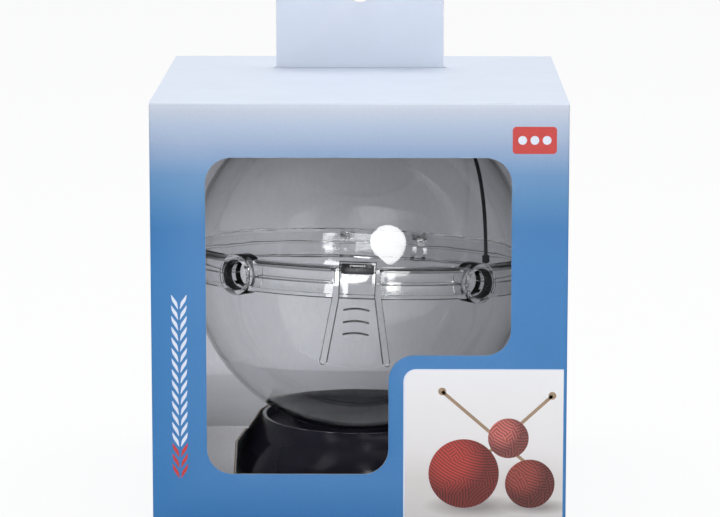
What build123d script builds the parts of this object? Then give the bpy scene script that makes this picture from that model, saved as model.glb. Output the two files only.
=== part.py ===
"""Boxed yarn dispenser: a window carton with a hang tab, a folded tray, and a hinged clear globe on a dark foot.

Frame: millimetres, +Z up, origin at the bottom centre of the carton, the window faces -Y.
"""
from build123d import *
from math import cos, radians, sin, sqrt, tan
import os

os.makedirs("parts", exist_ok=True)

# ---------------------------------------------------------------- driving dimensions
# carton
box_w = 200.0
box_d = 200.0
box_h = 206.0
board = 1.0              # board thickness
fold = 0.15              # gap along a crease between two panels
half_w = box_w / 2
half_d = box_d / 2
wall_top = box_h - board - fold
dust_top = box_h - board - 0.2
side_top = dust_top - board - fold

# window in the front panel: an upright rectangle with its lower right corner left closed
window_left = -73.5
window_right = 72.8
window_top = box_h - 26.6
window_bottom = box_h - 181.0
step_x = 14.1
step_z = box_h - 122.3
window_r = 12.4

# top closure
seam_y = 47.7            # the long front flap ends here, the short rear flap begins
seam_gap = 0.1
flap_side_gap = 0.2
tab_w = 86.4
tab_x = -1.3
tab_h = 56.0
tab_corner_r = 7.0
hang_hole_r = 6.0
hang_hole_z = box_h + 39.7
crease_lift = 0.3        # the tab's crease stands this far above the lid
notch_w = 1.6
notch_len = 3.2
dust_len = 50.0
dust_end_gap = 5.0

# bottom closure
floor_top = 3 * board
inner_flap_end = 40.0
bottom_dust_w = 70.0
glue_flap_w = 20.0

# folded tray round the foot
tray_half_w = 97.2
tray_rear = 97.8
tray_front = -30.0
tray_top = box_h - 173.0
tray_foot = floor_top + 0.1
tray_hole_r = 52.0
tray_mouth_half = 55.5
skirt_knee_z = tray_top - 8.0
skirt_knee_half = 61.2
skirt_foot_half = 62.5

# globe
globe_x = -1.0
globe_z = box_h - 94.0
globe_r = 86.0
wall = 2.0
flange_r = 94.0
flange_h = 7.3
parting = 0.15           # each half stops this far from the parting plane
lean_back = -3.2         # the globe lies tilted in its dish: front edge up
lean_right = 2.0         # and right side down
eyelet_angle = 39.0
eyelet_boss_r = 10.0
eyelet_face = 95.5
eyelet_r = 6.6
grommet_seat = 89.6      # distance of the shoulder that the rubber sleeve rests on
grommet_end = 95.2
grommet_out_r = 7.5
grommet_gap = 0.3        # the sleeve lifts out of the bowl's half with the dome
grommet_open_x = -1.0    # the sleeve is a half round one, open on the side nearer the latch

# hinge at the rear of the flange
hinge_y = 95.8
hinge_z = 3.6
barrel_r = 2.1
pin_r = 1.1
pin_fit = 0.06
hinge_starts = [-11.8, 27.8]     # left ends of the two hinge posts, which stand off centre
hinge_len = 8.0
knuckle_len = 2.2
knuckle_gap = 0.3
knuckle_root_y = 84.5

# latch tongue in the front wall of the bowl
slit_w = 2.8
tongue_top_half = 8.9
tongue_foot_half = 14.2
tongue_foot_z = -41.0
tongue_gap = 0.3
head_half = 9.0
head_in_r = 92.5
head_out_r = 94.4
pocket_half = 10.8       # recess in the dome's flange that the latch's head lies in
pocket_y = -91.3
pocket_wall = 2.0
head_top_z = 10.9
slot_half = 6.8
slot_low_z = 4.1
slot_high_z = 8.1
grip_z = [-13.0, -19.2, -25.3]
grip_r = 0.55

# foot (base cup)
rim_z = box_h - 172.3
rim_r = 49.5
dish_r = 47.6
dish_z = rim_z - 4.5
seat_out_r = 34.0
seat_top_r = 33.5
seat_in_r = 30.0
seat_fit = 0.3
pit_z = 24.5
foot_r = 63.5
foot_z = floor_top + 0.2
pad_h = 1.6
shell = 2.5
notch_x = 9.0
notch_half = 9.0
notch_h = 7.0

# carry cord
cord_r = 0.9
knot_r = 2.4
# from the right eyelet up over the dome, then round a wrist loop that lies on its top and back to the
# stem, in the globe's own frame
cord_route = [
    (61.9, -71.4, 13.2),
    (61.4, -67.6, 26.0),
    (59.8, -56.6, 41.5),
    (56.9, -41.5, 55.6),
    (51.5, -26.0, 68.0),
    (41.5, -13.5, 77.4),
    (28.0, -4.0, 84.6),
    (14.0, 3.5, 87.8),
    (-1.0, 7.0, 88.2),
    (-16.0, 5.5, 86.7),
    (-28.5, -2.0, 83.5),
    (-35.0, -14.5, 79.8),
    (-32.5, -28.0, 77.2),
    (-21.5, -36.0, 77.7),
    (-7.0, -37.0, 79.9),
    (7.0, -32.0, 82.0),
    (17.0, -22.0, 83.8),
    (21.5, -9.5, 85.4),
    (21.1, -2.4, 86.1),
]
stem_point = 6           # the end knot holds the stem halfway between this point and the next
stem_fit = 0.3

globe_stand = Location((globe_x, 0, globe_z), (lean_back, lean_right, 0))


# ---------------------------------------------------------------- carton walls
def window_outline():
    """Window corners in the front view, clockwise from the top left."""
    return [
        (window_left, window_top),
        (window_right, window_top),
        (window_right, step_z),
        (step_x, step_z),
        (step_x, window_bottom),
        (window_left, window_bottom),
    ]


with BuildPart() as carton_front_panel:
    with BuildSketch(Plane.XZ.offset(half_d - board)):
        with Locations((0, (board + wall_top) / 2)):
            Rectangle(box_w, wall_top - board)
    extrude(amount=board)
    with BuildSketch(Plane.XZ.offset(half_d - board)) as window:
        with BuildLine():
            Polyline(window_outline(), close=True)
        make_face()
        fillet(window.vertices(), window_r)
    extrude(amount=board, mode=Mode.SUBTRACT)
carton_front_panel.part.label = "carton_front_panel"
export_step(carton_front_panel.part, "parts/carton_front_panel.step")

with BuildPart() as carton_rear_panel:
    with BuildSketch(Plane.XZ.offset(-half_d)):
        with Locations((0, (board + wall_top) / 2)):
            Rectangle(box_w, wall_top - board)
    extrude(amount=board)
carton_rear_panel.part.label = "carton_rear_panel"
export_step(carton_rear_panel.part, "parts/carton_rear_panel.step")

with BuildPart() as carton_left_panel:
    with BuildSketch(Plane.YZ.offset(-half_w)):
        with Locations((0, (board + side_top) / 2)):
            Rectangle(box_d - 2 * board, side_top - board)
    extrude(amount=board)
carton_left_panel.part.label = "carton_left_panel"
export_step(carton_left_panel.part, "parts/carton_left_panel.step")

with BuildPart() as carton_right_panel:
    with BuildSketch(Plane.YZ.offset(half_w - board)):
        with Locations((0, (board + side_top) / 2)):
            Rectangle(box_d - 2 * board, side_top - board)
    extrude(amount=board)
carton_right_panel.part.label = "carton_right_panel"
export_step(carton_right_panel.part, "parts/carton_right_panel.step")

# the strip that glues the left panel to the rear one, inside the corner
with BuildPart() as carton_glue_flap:
    with BuildSketch(Plane.YZ.offset(board - half_w)):
        with BuildLine():
            Polyline(
                (half_d - board, floor_top + 2),
                (half_d - board, side_top - 4),
                (half_d - board - glue_flap_w, side_top - 12),
                (half_d - board - glue_flap_w, floor_top + 10),
                close=True,
            )
        make_face()
    extrude(amount=board)
carton_glue_flap.part.label = "carton_glue_flap"
export_step(carton_glue_flap.part, "parts/carton_glue_flap.step")

# ---------------------------------------------------------------- carton bottom
with BuildPart() as carton_bottom_outer:
    with BuildSketch():
        Rectangle(box_w, box_d)
    extrude(amount=board)
carton_bottom_outer.part.label = "carton_bottom_outer"
export_step(carton_bottom_outer.part, "parts/carton_bottom_outer.step")

with BuildPart() as carton_bottom_inner:
    with BuildSketch(Plane.XY.offset(board)):
        with Locations((0, (inner_flap_end - half_d + board) / 2)):
            Rectangle(box_w - 2 * board, inner_flap_end + half_d - board)
    extrude(amount=board)
carton_bottom_inner.part.label = "carton_bottom_inner"
export_step(carton_bottom_inner.part, "parts/carton_bottom_inner.step")

bottom_dust_x = half_w - board - bottom_dust_w / 2
with BuildPart() as carton_bottom_dust_left:
    with BuildSketch(Plane.XY.offset(2 * board)):
        with Locations((-bottom_dust_x, 0)):
            Rectangle(bottom_dust_w, box_d - 2 * board)
    extrude(amount=board)
carton_bottom_dust_left.part.label = "carton_bottom_dust_left"
export_step(carton_bottom_dust_left.part, "parts/carton_bottom_dust_left.step")

with BuildPart() as carton_bottom_dust_right:
    with BuildSketch(Plane.XY.offset(2 * board)):
        with Locations((bottom_dust_x, 0)):
            Rectangle(bottom_dust_w, box_d - 2 * board)
    extrude(amount=board)
carton_bottom_dust_right.part.label = "carton_bottom_dust_right"
export_step(carton_bottom_dust_right.part, "parts/carton_bottom_dust_right.step")

# ---------------------------------------------------------------- carton top closure
flap_half = half_w - flap_side_gap
tab_left = tab_x - tab_w / 2
tab_right = tab_x + tab_w / 2

with BuildPart() as lid_front_flap:
    with BuildSketch(Plane.XY.offset(box_h - board)):
        with Locations((0, (seam_y - half_d) / 2)):
            Rectangle(2 * flap_half, half_d + seam_y)
        with Locations(
            (tab_left - notch_w / 2, seam_y - notch_len / 2),
            (tab_right + notch_w / 2, seam_y - notch_len / 2),
        ):
            Rectangle(notch_w, notch_len, mode=Mode.SUBTRACT)
    extrude(amount=board)
lid_front_flap.part.label = "lid_front_flap"
export_step(lid_front_flap.part, "parts/lid_front_flap.step")

with BuildPart() as lid_rear_flap:
    with BuildSketch(Plane.XY.offset(box_h - board)):
        with Locations((0, (seam_y + seam_gap + half_d) / 2)):
            Rectangle(2 * flap_half, half_d - seam_y - seam_gap)
    extrude(amount=board)
lid_rear_flap.part.label = "lid_rear_flap"
export_step(lid_rear_flap.part, "parts/lid_rear_flap.step")

tab_foot = box_h + crease_lift
with BuildPart() as hang_tab:
    with BuildSketch(Plane.XZ.offset(-seam_y)) as tab_face:
        with Locations((tab_x, (tab_foot + box_h + tab_h) / 2)):
            Rectangle(tab_w, box_h + tab_h - tab_foot)
        fillet(tab_face.vertices().group_by(Axis.Z)[-1], tab_corner_r)
        with Locations((tab_x, hang_hole_z)):
            Circle(hang_hole_r, mode=Mode.SUBTRACT)
    extrude(amount=board)
hang_tab.part.label = "hang_tab"
export_step(hang_tab.part, "parts/hang_tab.step")


def dust_flap_outline(side):
    """Bevelled flap seen from above; side is -1 at the left wall and 1 at the right one."""
    end = half_d - dust_end_gap
    inner = half_w - dust_len
    return [
        (side * half_w, -end),
        (side * half_w, end),
        (side * inner, end - dust_len),
        (side * inner, dust_len - end),
    ]


with BuildPart() as dust_flap_left:
    with BuildSketch(Plane.XY.offset(dust_top - board)):
        with BuildLine():
            Polyline(dust_flap_outline(-1), close=True)
        make_face()
    extrude(amount=board)
dust_flap_left.part.label = "dust_flap_left"
export_step(dust_flap_left.part, "parts/dust_flap_left.step")

with BuildPart() as dust_flap_right:
    with BuildSketch(Plane.XY.offset(dust_top - board)):
        with BuildLine():
            Polyline(dust_flap_outline(1), close=True)
        make_face()
    extrude(amount=board)
dust_flap_right.part.label = "dust_flap_right"
export_step(dust_flap_right.part, "parts/dust_flap_right.step")

# ---------------------------------------------------------------- folded tray
with BuildPart() as tray_platform:
    with BuildSketch(Plane.XY.offset(tray_top - board)):
        with Locations((0, (tray_front + tray_rear) / 2)):
            Rectangle(2 * tray_half_w, tray_rear - tray_front)
        with Locations((globe_x, 0)):
            Circle(tray_hole_r, mode=Mode.SUBTRACT)
        with BuildLine():
            Polyline(
                (globe_x - tray_hole_r, 0),
                (globe_x + tray_hole_r, 0),
                (globe_x + tray_mouth_half, tray_front - 1),
                (globe_x - tray_mouth_half, tray_front - 1),
                close=True,
            )
        make_face(mode=Mode.SUBTRACT)
    extrude(amount=board)
tray_platform.part.label = "tray_platform"
export_step(tray_platform.part, "parts/tray_platform.step")


def skirt_outline(side):
    """Half of the tray's front skirt, with the slanted edge that clears the foot."""
    return [
        (side * tray_half_w, tray_foot),
        (side * tray_half_w, tray_top - board),
        (globe_x + side * (tray_mouth_half + 0.7), tray_top - board),
        (globe_x + side * skirt_knee_half, skirt_knee_z),
        (globe_x + side * skirt_foot_half, tray_foot),
    ]


with BuildPart() as tray_skirt_left:
    with BuildSketch(Plane.XZ.offset(-tray_front - board)):
        with BuildLine():
            Polyline(skirt_outline(-1), close=True)
        make_face()
    extrude(amount=board)
tray_skirt_left.part.label = "tray_skirt_left"
export_step(tray_skirt_left.part, "parts/tray_skirt_left.step")

with BuildPart() as tray_skirt_right:
    with BuildSketch(Plane.XZ.offset(-tray_front - board)):
        with BuildLine():
            Polyline(skirt_outline(1), close=True)
        make_face()
    extrude(amount=board)
tray_skirt_right.part.label = "tray_skirt_right"
export_step(tray_skirt_right.part, "parts/tray_skirt_right.step")

leg_h = tray_top - board - tray_foot
leg_y = (tray_front + tray_rear) / 2
leg_len = tray_rear - tray_front - 2 * board
with BuildPart() as tray_left_leg:
    with BuildSketch(Plane.XY.offset(tray_foot)):
        with Locations((board / 2 - tray_half_w, leg_y)):
            Rectangle(board, leg_len)
    extrude(amount=leg_h)
tray_left_leg.part.label = "tray_left_leg"
export_step(tray_left_leg.part, "parts/tray_left_leg.step")

with BuildPart() as tray_right_leg:
    with BuildSketch(Plane.XY.offset(tray_foot)):
        with Locations((tray_half_w - board / 2, leg_y)):
            Rectangle(board, leg_len)
    extrude(amount=leg_h)
tray_right_leg.part.label = "tray_right_leg"
export_step(tray_right_leg.part, "parts/tray_right_leg.step")

with BuildPart() as tray_rear_leg:
    with BuildSketch(Plane.XY.offset(tray_foot)):
        with Locations((0, tray_rear - board / 2)):
            Rectangle(2 * tray_half_w, board)
    extrude(amount=leg_h)
tray_rear_leg.part.label = "tray_rear_leg"
export_step(tray_rear_leg.part, "parts/tray_rear_leg.step")


# ---------------------------------------------------------------- foot
def seat_z(radius):
    """Height of the spherical seat, which follows the bowl at a small clearance."""
    return globe_z - sqrt((globe_r + seat_fit) ** 2 - radius**2)


cup_foot_z = foot_z + pad_h
with BuildPart() as base_cup:
    with BuildSketch(Plane.XZ) as cup_profile:
        with BuildLine():
            Polyline(
                (0, pit_z - shell),
                (0, pit_z),
                (seat_in_r, pit_z),
                (seat_in_r, seat_z(seat_in_r)),
                (seat_top_r, seat_z(seat_top_r)),
                (seat_out_r, seat_z(seat_top_r) - 0.4),
                (seat_out_r, dish_z),
                (dish_r, dish_z),
                (dish_r, rim_z - 0.6),
                (dish_r + 0.6, rim_z),
                (rim_r - 0.6, rim_z),
                (rim_r, rim_z - 0.6),
            )
            Spline(
                (rim_r, rim_z - 0.6),
                (rim_r + 6.1, rim_z - 8.2),
                (rim_r + 11.0, rim_z - 15.5),
                (foot_r - 0.4, rim_z - 24.0),
                (foot_r, cup_foot_z),
            )
            Polyline(
                (foot_r, cup_foot_z),
                (foot_r - 8.0, cup_foot_z),
                (foot_r - 8.0, cup_foot_z + shell),
                (foot_r - shell, cup_foot_z + shell),
                (foot_r - shell - 3.5, rim_z - 16.5),
                (rim_r - shell + 2.0, dish_z - shell),
                (seat_in_r + shell, dish_z - shell),
                (seat_in_r + shell, pit_z - shell),
                (0, pit_z - shell),
            )
        make_face()
    revolve(axis=Axis.Z)
    # a low arch in the front edge of the foot
    with BuildSketch(Plane.XZ.offset(foot_r - 14)):
        with Locations((notch_x, cup_foot_z)):
            SlotOverall(2 * notch_half, 2 * notch_h)
    extrude(amount=20, mode=Mode.SUBTRACT)
base_cup.part.label = "base_cup"
export_step(Location((globe_x, 0, 0)) * base_cup.part, "parts/base_cup.step")

with BuildPart() as base_foot_ring:
    with BuildSketch(Plane.XY.offset(foot_z)):
        with Locations((globe_x, 0)):
            Circle(foot_r - 1.0)
            Circle(foot_r - 7.0, mode=Mode.SUBTRACT)
    extrude(amount=pad_h)
    with BuildSketch(Plane.XZ.offset(foot_r - 14)):
        with Locations((globe_x + notch_x, foot_z)):
            Rectangle(2 * notch_half, 2 * notch_h)
    extrude(amount=20, mode=Mode.SUBTRACT)
base_foot_ring.part.label = "base_foot_ring"
export_step(base_foot_ring.part, "parts/base_foot_ring.step")


# ---------------------------------------------------------------- globe, in its own frame
def shell_profile(up):
    """Half section of the dome (up = 1) or the bowl (up = -1) with its hollow flange."""
    inner = globe_r - wall
    web_z = flange_h - wall
    edge = sqrt(globe_r**2 - parting**2)
    web_r = sqrt(globe_r**2 - web_z**2)
    top_r = sqrt(globe_r**2 - flange_h**2)
    in_edge = sqrt(inner**2 - parting**2)
    mid = sqrt(0.5)
    with BuildSketch(Plane.XZ) as profile:
        with BuildLine():
            ThreePointArc((0, up * globe_r), (mid * globe_r, up * mid * globe_r), (top_r, up * flange_h))
            Line((top_r, up * flange_h), (flange_r - 0.7, up * flange_h))
            Line((flange_r - 0.7, up * flange_h), (flange_r, up * (flange_h - 0.7)))
            Line((flange_r, up * (flange_h - 0.7)), (flange_r, up * parting))
            Line((flange_r, up * parting), (flange_r - wall, up * parting))
            Line((flange_r - wall, up * parting), (flange_r - wall, up * web_z))
            Line((flange_r - wall, up * web_z), (web_r, up * web_z))
            Line((web_r, up * web_z), (edge, up * parting))
            Line((edge, up * parting), (in_edge, up * parting))
            ThreePointArc((in_edge, up * parting), (mid * inner, up * mid * inner), (0, up * inner))
            Line((0, up * inner), (0, up * globe_r))
        make_face()
    return profile.sketch


def eyelet_plane(side, distance):
    """Plane across the eyelet's axis at a distance from the globe's centre, local y pointing up."""
    turn = radians(eyelet_angle) * side
    out = Vector(sin(turn), -cos(turn), 0)
    return Plane(origin=out * distance, x_dir=Vector(cos(turn), sin(turn), 0), z_dir=out)


def add_half_bosses(up):
    """Half-round collars of both eyelets, from inside the wall to just past the flange."""
    start = globe_r - wall
    for side in (-1, 1):
        with BuildSketch(eyelet_plane(side, start)) as collar:
            Circle(eyelet_boss_r)
            with Locations((0, up * (parting - eyelet_boss_r))):
                Rectangle(4 * eyelet_boss_r, 2 * eyelet_boss_r, mode=Mode.SUBTRACT)
        extrude(collar.sketch, amount=eyelet_face - start)


def cut_eyelets(gap):
    """Round holes through collars, wall and flange, wider outside where the rubber sleeve sits."""
    start = globe_r - wall - 6
    for side in (-1, 1):
        with BuildSketch(eyelet_plane(side, start)) as hole:
            Circle(eyelet_r)
        extrude(hole.sketch, amount=20, mode=Mode.SUBTRACT)
        with BuildSketch(eyelet_plane(side, grommet_seat - gap)) as seat:
            Circle(grommet_out_r + gap)
        extrude(seat.sketch, amount=10, mode=Mode.SUBTRACT)


def knuckle_starts(kind):
    """Left ends of the knuckles of one half: the bowl has the outer ones, the dome the middle ones."""
    if kind == "bowl":
        offsets = [0, hinge_len - knuckle_len]
        length = knuckle_len
    else:
        offsets = [knuckle_len + knuckle_gap]
        length = hinge_len - 2 * knuckle_len - 2 * knuckle_gap
    starts = [post + offset for post in hinge_starts for offset in offsets]
    return starts, length


def add_knuckles(kind):
    """Hinge barrels with the blocks that carry them."""
    starts, length = knuckle_starts(kind)
    for x in starts:
        with BuildSketch(Plane.YZ.offset(x)) as block:
            if kind == "bowl":
                with BuildLine():
                    Polyline(
                        (knuckle_root_y, -parting - knuckle_gap),
                        (knuckle_root_y, -flange_h),
                        (hinge_y, -flange_h),
                        (hinge_y + barrel_r, -flange_h + 2.5),
                        (hinge_y + barrel_r, hinge_z),
                        (hinge_y - barrel_r + 0.7, hinge_z),
                        (hinge_y - barrel_r + 0.7, -parting - knuckle_gap),
                        close=True,
                    )
                make_face()
            else:
                with Locations((knuckle_root_y, knuckle_gap)):
                    Rectangle(
                        hinge_y - knuckle_root_y,
                        hinge_z + barrel_r - knuckle_gap,
                        align=(Align.MIN, Align.MIN),
                    )
            with Locations((hinge_y, hinge_z)):
                Circle(barrel_r)
        extrude(block.sketch, amount=length)


def relieve_flange():
    """Flats in the dome's flange that clear the bowl's knuckles."""
    starts, length = knuckle_starts("bowl")
    for x in starts:
        with BuildSketch(Plane.XY.offset(-1)) as relief:
            with Locations((x + length / 2, hinge_y - barrel_r - knuckle_gap)):
                Rectangle(length + 2 * knuckle_gap, 5, align=(Align.CENTER, Align.MIN))
        extrude(relief.sketch, amount=flange_h + 2, mode=Mode.SUBTRACT)


def bore_knuckles(radius):
    """Pin holes through the knuckles."""
    for x in hinge_starts:
        with BuildSketch(Plane.YZ.offset(x - 1)) as hole:
            with Locations((hinge_y, hinge_z)):
                Circle(radius)
        extrude(hole.sketch, amount=hinge_len + 2, mode=Mode.SUBTRACT)


with BuildPart() as globe_dome:
    add(shell_profile(1))
    revolve(axis=Axis.Z)
    add_half_bosses(1)
    Sphere(globe_r - wall, mode=Mode.SUBTRACT)
    cut_eyelets(0)
    relieve_flange()
    add_knuckles("dome")
    bore_knuckles(pin_r + pin_fit)
    # the recess at the front of the flange, with a wall behind it
    with BuildSketch(Plane.XY.offset(parting)):
        with Locations((0, pocket_y)):
            Rectangle(2 * (pocket_half + pocket_wall), pocket_wall, align=(Align.CENTER, Align.MIN))
        with Locations((pocket_half + pocket_wall / 2, pocket_y), (-pocket_half - pocket_wall / 2, pocket_y)):
            Rectangle(pocket_wall, 1.5, align=(Align.CENTER, Align.MAX))
    extrude(amount=flange_h - parting)
    with BuildSketch(Plane.XY.offset(-1)):
        with Locations((0, pocket_y)):
            Rectangle(2 * pocket_half, 10, align=(Align.CENTER, Align.MAX))
    extrude(amount=flange_h + 2, mode=Mode.SUBTRACT)
globe_dome.part.label = "globe_dome"
export_step(globe_stand * globe_dome.part, "parts/globe_dome.step")

with BuildPart() as globe_bowl:
    add(shell_profile(-1))
    revolve(axis=Axis.Z)
    add_half_bosses(-1)
    Sphere(globe_r - wall, mode=Mode.SUBTRACT)
    cut_eyelets(grommet_gap)
    add_knuckles("bowl")
    bore_knuckles(pin_r)
    # room for the latch tongue and its two slits
    with BuildSketch(Plane.XZ.offset(60)):
        with BuildLine():
            Polyline(
                (-tongue_top_half - slit_w, 1),
                (tongue_top_half + slit_w, 1),
                (tongue_top_half + slit_w, -flange_h),
                (tongue_foot_half + slit_w, tongue_foot_z - tongue_gap),
                (-tongue_foot_half - slit_w, tongue_foot_z - tongue_gap),
                (-tongue_top_half - slit_w, -flange_h),
                close=True,
            )
        make_face()
        with Locations(
            (-tongue_foot_half - slit_w / 2, tongue_foot_z - tongue_gap),
            (tongue_foot_half + slit_w / 2, tongue_foot_z - tongue_gap),
        ):
            Circle(slit_w / 2)
    extrude(amount=50, mode=Mode.SUBTRACT)
globe_bowl.part.label = "globe_bowl"
export_step(globe_stand * globe_bowl.part, "parts/globe_bowl.step")

with BuildPart() as latch_tongue:
    # the part of the bowl's wall between the slits
    with BuildSketch(Plane.XZ):
        with BuildLine():
            outer_foot = sqrt(globe_r**2 - tongue_foot_z**2)
            inner_foot = sqrt((globe_r - wall) ** 2 - tongue_foot_z**2)
            web_low = -flange_h
            web_high = wall - flange_h
            outer_web = sqrt(globe_r**2 - web_low**2)
            inner_web = sqrt((globe_r - wall) ** 2 - web_high**2)
            mid_z = tongue_foot_z / 2 - 4
            Line((inner_foot, tongue_foot_z), (outer_foot, tongue_foot_z))
            ThreePointArc(
                (outer_foot, tongue_foot_z),
                (sqrt(globe_r**2 - mid_z**2), mid_z),
                (outer_web, web_low),
            )
            Line((outer_web, web_low), (head_out_r - 0.8, web_low))
            Line((head_out_r - 0.8, web_low), (head_out_r, web_low + 0.8))
            Line((head_out_r, web_low + 0.8), (head_out_r, head_top_z - 0.6))
            Line((head_out_r, head_top_z - 0.6), (head_out_r - 0.6, head_top_z))
            Line((head_out_r - 0.6, head_top_z), (head_in_r, head_top_z))
            Line((head_in_r, head_top_z), (head_in_r, web_high))
            Line((head_in_r, web_high), (inner_web, web_high))
            ThreePointArc(
                (inner_web, web_high),
                (sqrt((globe_r - wall) ** 2 - mid_z**2), mid_z),
                (inner_foot, tongue_foot_z),
            )
        make_face()
    revolve(axis=Axis.Z)
    # three arched grip ridges
    for z in grip_z:
        with BuildSketch(Plane.XZ):
            with Locations((sqrt(globe_r**2 - z**2), z)):
                Circle(grip_r)
        revolve(axis=Axis.Z)
    # keep what lies inside the tongue's outline, seen from the front
    with BuildSketch(Plane.XZ.offset(60)):
        with BuildLine():
            Polyline(
                (-head_half, head_top_z + 1),
                (head_half, head_top_z + 1),
                (tongue_top_half, web_low),
                (tongue_foot_half, tongue_foot_z - 1),
                (-tongue_foot_half, tongue_foot_z - 1),
                (-tongue_top_half, web_low),
                close=True,
            )
        make_face()
    extrude(amount=50, mode=Mode.INTERSECT)
    # the slot that the catch sits in
    with BuildSketch(Plane.XZ.offset(60)):
        with Locations((0, (slot_low_z + slot_high_z) / 2)):
            Rectangle(2 * slot_half, slot_high_z - slot_low_z)
    extrude(amount=50, mode=Mode.SUBTRACT)
latch_tongue.part.label = "latch_tongue"
export_step(globe_stand * latch_tongue.part, "parts/latch_tongue.step")


def build_grommet(side):
    """Half round rubber sleeve on the outboard side of one eyelet, where the yarn rubs."""
    with BuildPart() as grommet:
        with BuildSketch(eyelet_plane(side, grommet_seat)):
            Circle(grommet_out_r)
            Circle(eyelet_r, mode=Mode.SUBTRACT)
            with Locations((side * (grommet_open_x - grommet_out_r), 0)):
                Rectangle(2 * grommet_out_r, 2 * grommet_out_r, mode=Mode.SUBTRACT)
        extrude(amount=grommet_end - grommet_seat)
    return grommet


grommet_left = build_grommet(-1)
grommet_left.part.label = "grommet_left"
export_step(globe_stand * grommet_left.part, "parts/grommet_left.step")

grommet_right = build_grommet(1)
grommet_right.part.label = "grommet_right"
export_step(globe_stand * grommet_right.part, "parts/grommet_right.step")


def build_pin(start):
    """Steel pin through the knuckles of one hinge post."""
    with BuildPart() as pin:
        with BuildSketch(Plane.YZ.offset(start)):
            with Locations((hinge_y, hinge_z)):
                Circle(pin_r)
        extrude(amount=hinge_len)
    return pin


hinge_pin_left = build_pin(hinge_starts[0])
hinge_pin_left.part.label = "hinge_pin_left"
export_step(globe_stand * hinge_pin_left.part, "parts/hinge_pin_left.step")

hinge_pin_right = build_pin(hinge_starts[1])
hinge_pin_right.part.label = "hinge_pin_right"
export_step(globe_stand * hinge_pin_right.part, "parts/hinge_pin_right.step")


# ---------------------------------------------------------------- carry cord
def bend_radii(points):
    """Largest tangent arc that fits each corner of the route."""
    radii = []
    for before, here, after in zip(points, points[1:], points[2:]):
        run_in = Vector(*here) - Vector(*before)
        run_out = Vector(*after) - Vector(*here)
        half_turn = radians(run_in.get_angle(run_out)) / 2
        radii.append(0.45 * min(run_in.length, run_out.length) / tan(half_turn))
    return radii


cord_radii = bend_radii(cord_route)
print("cord bend radii:", [round(radius, 1) for radius in cord_radii])

with BuildPart() as carry_cord:
    with BuildLine() as cord_line:
        FilletPolyline(*cord_route, radius=cord_radii)
    with BuildSketch(cord_line.line ^ 0):
        Circle(cord_r)
    sweep()
carry_cord.part.label = "carry_cord"
export_step(globe_stand * carry_cord.part, "parts/carry_cord.step")


def cut_plane(here, away):
    """Plane across one end of the cord, square to its run there, facing along the cord."""
    return Plane(origin=here, z_dir=Vector(*away) - Vector(*here))


start_face = cut_plane(cord_route[0], cord_route[1])
with BuildPart() as cord_knot:
    with Locations(start_face.offset(-0.9 * knot_r).location):
        Sphere(knot_r)
    with BuildSketch(start_face):
        Circle(2 * knot_r)
    extrude(amount=2 * knot_r, mode=Mode.SUBTRACT)
    with BuildSketch(eyelet_plane(1, globe_r - wall)):
        Circle(eyelet_boss_r)
    extrude(amount=20, mode=Mode.SUBTRACT)
cord_knot.part.label = "cord_knot"
export_step(globe_stand * cord_knot.part, "parts/cord_knot.step")

end_face = cut_plane(cord_route[-1], cord_route[-2])
stem_from = Vector(*cord_route[stem_point])
stem_to = Vector(*cord_route[stem_point + 1])
stem_line = Plane(origin=(stem_from + stem_to) / 2, z_dir=stem_to - stem_from)
with BuildPart() as cord_end_knot:
    with Locations(end_face.offset(-0.9 * knot_r).location):
        Sphere(knot_r)
    with BuildSketch(end_face):
        Circle(2 * knot_r)
    extrude(amount=2 * knot_r, mode=Mode.SUBTRACT)
    with BuildSketch(stem_line):
        Circle(cord_r + stem_fit)
    extrude(amount=2 * knot_r, both=True, mode=Mode.SUBTRACT)
cord_end_knot.part.label = "cord_end_knot"
export_step(globe_stand * cord_end_knot.part, "parts/cord_end_knot.step")
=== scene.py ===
"""Looks for a boxed yarn dispenser: window carton, folded tray, and a clear hinged globe on a dark foot."""
import math

import bmesh
import bpy
from bpy.props import FloatProperty, FloatVectorProperty, PointerProperty
from mathutils import Matrix, Vector


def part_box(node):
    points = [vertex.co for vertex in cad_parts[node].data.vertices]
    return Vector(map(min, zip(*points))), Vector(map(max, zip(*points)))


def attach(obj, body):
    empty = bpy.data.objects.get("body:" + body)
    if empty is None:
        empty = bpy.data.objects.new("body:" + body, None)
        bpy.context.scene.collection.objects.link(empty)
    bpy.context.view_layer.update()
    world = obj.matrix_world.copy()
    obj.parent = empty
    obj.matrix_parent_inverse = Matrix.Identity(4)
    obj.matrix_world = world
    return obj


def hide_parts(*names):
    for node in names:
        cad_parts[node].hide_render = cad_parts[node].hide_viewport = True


bl_info = {
    "name": "Boxed yarn dispenser",
    "version": (1, 0, 0),
    "blender": (4, 5, 0),
    "location": "View3D > Sidebar > Yarn box",
    "description": "Dresses the window carton, the tray and the clear globe on its foot",
    "category": "Object",
}

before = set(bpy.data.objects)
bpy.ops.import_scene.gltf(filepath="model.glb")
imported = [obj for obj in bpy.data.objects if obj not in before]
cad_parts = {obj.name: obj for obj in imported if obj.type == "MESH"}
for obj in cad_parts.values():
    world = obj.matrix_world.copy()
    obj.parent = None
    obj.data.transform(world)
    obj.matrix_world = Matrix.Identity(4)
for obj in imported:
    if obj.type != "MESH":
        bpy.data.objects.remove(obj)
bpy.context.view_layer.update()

MM = 0.001
SAME = 1e-5              # two places nearer than this are one and the same

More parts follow.
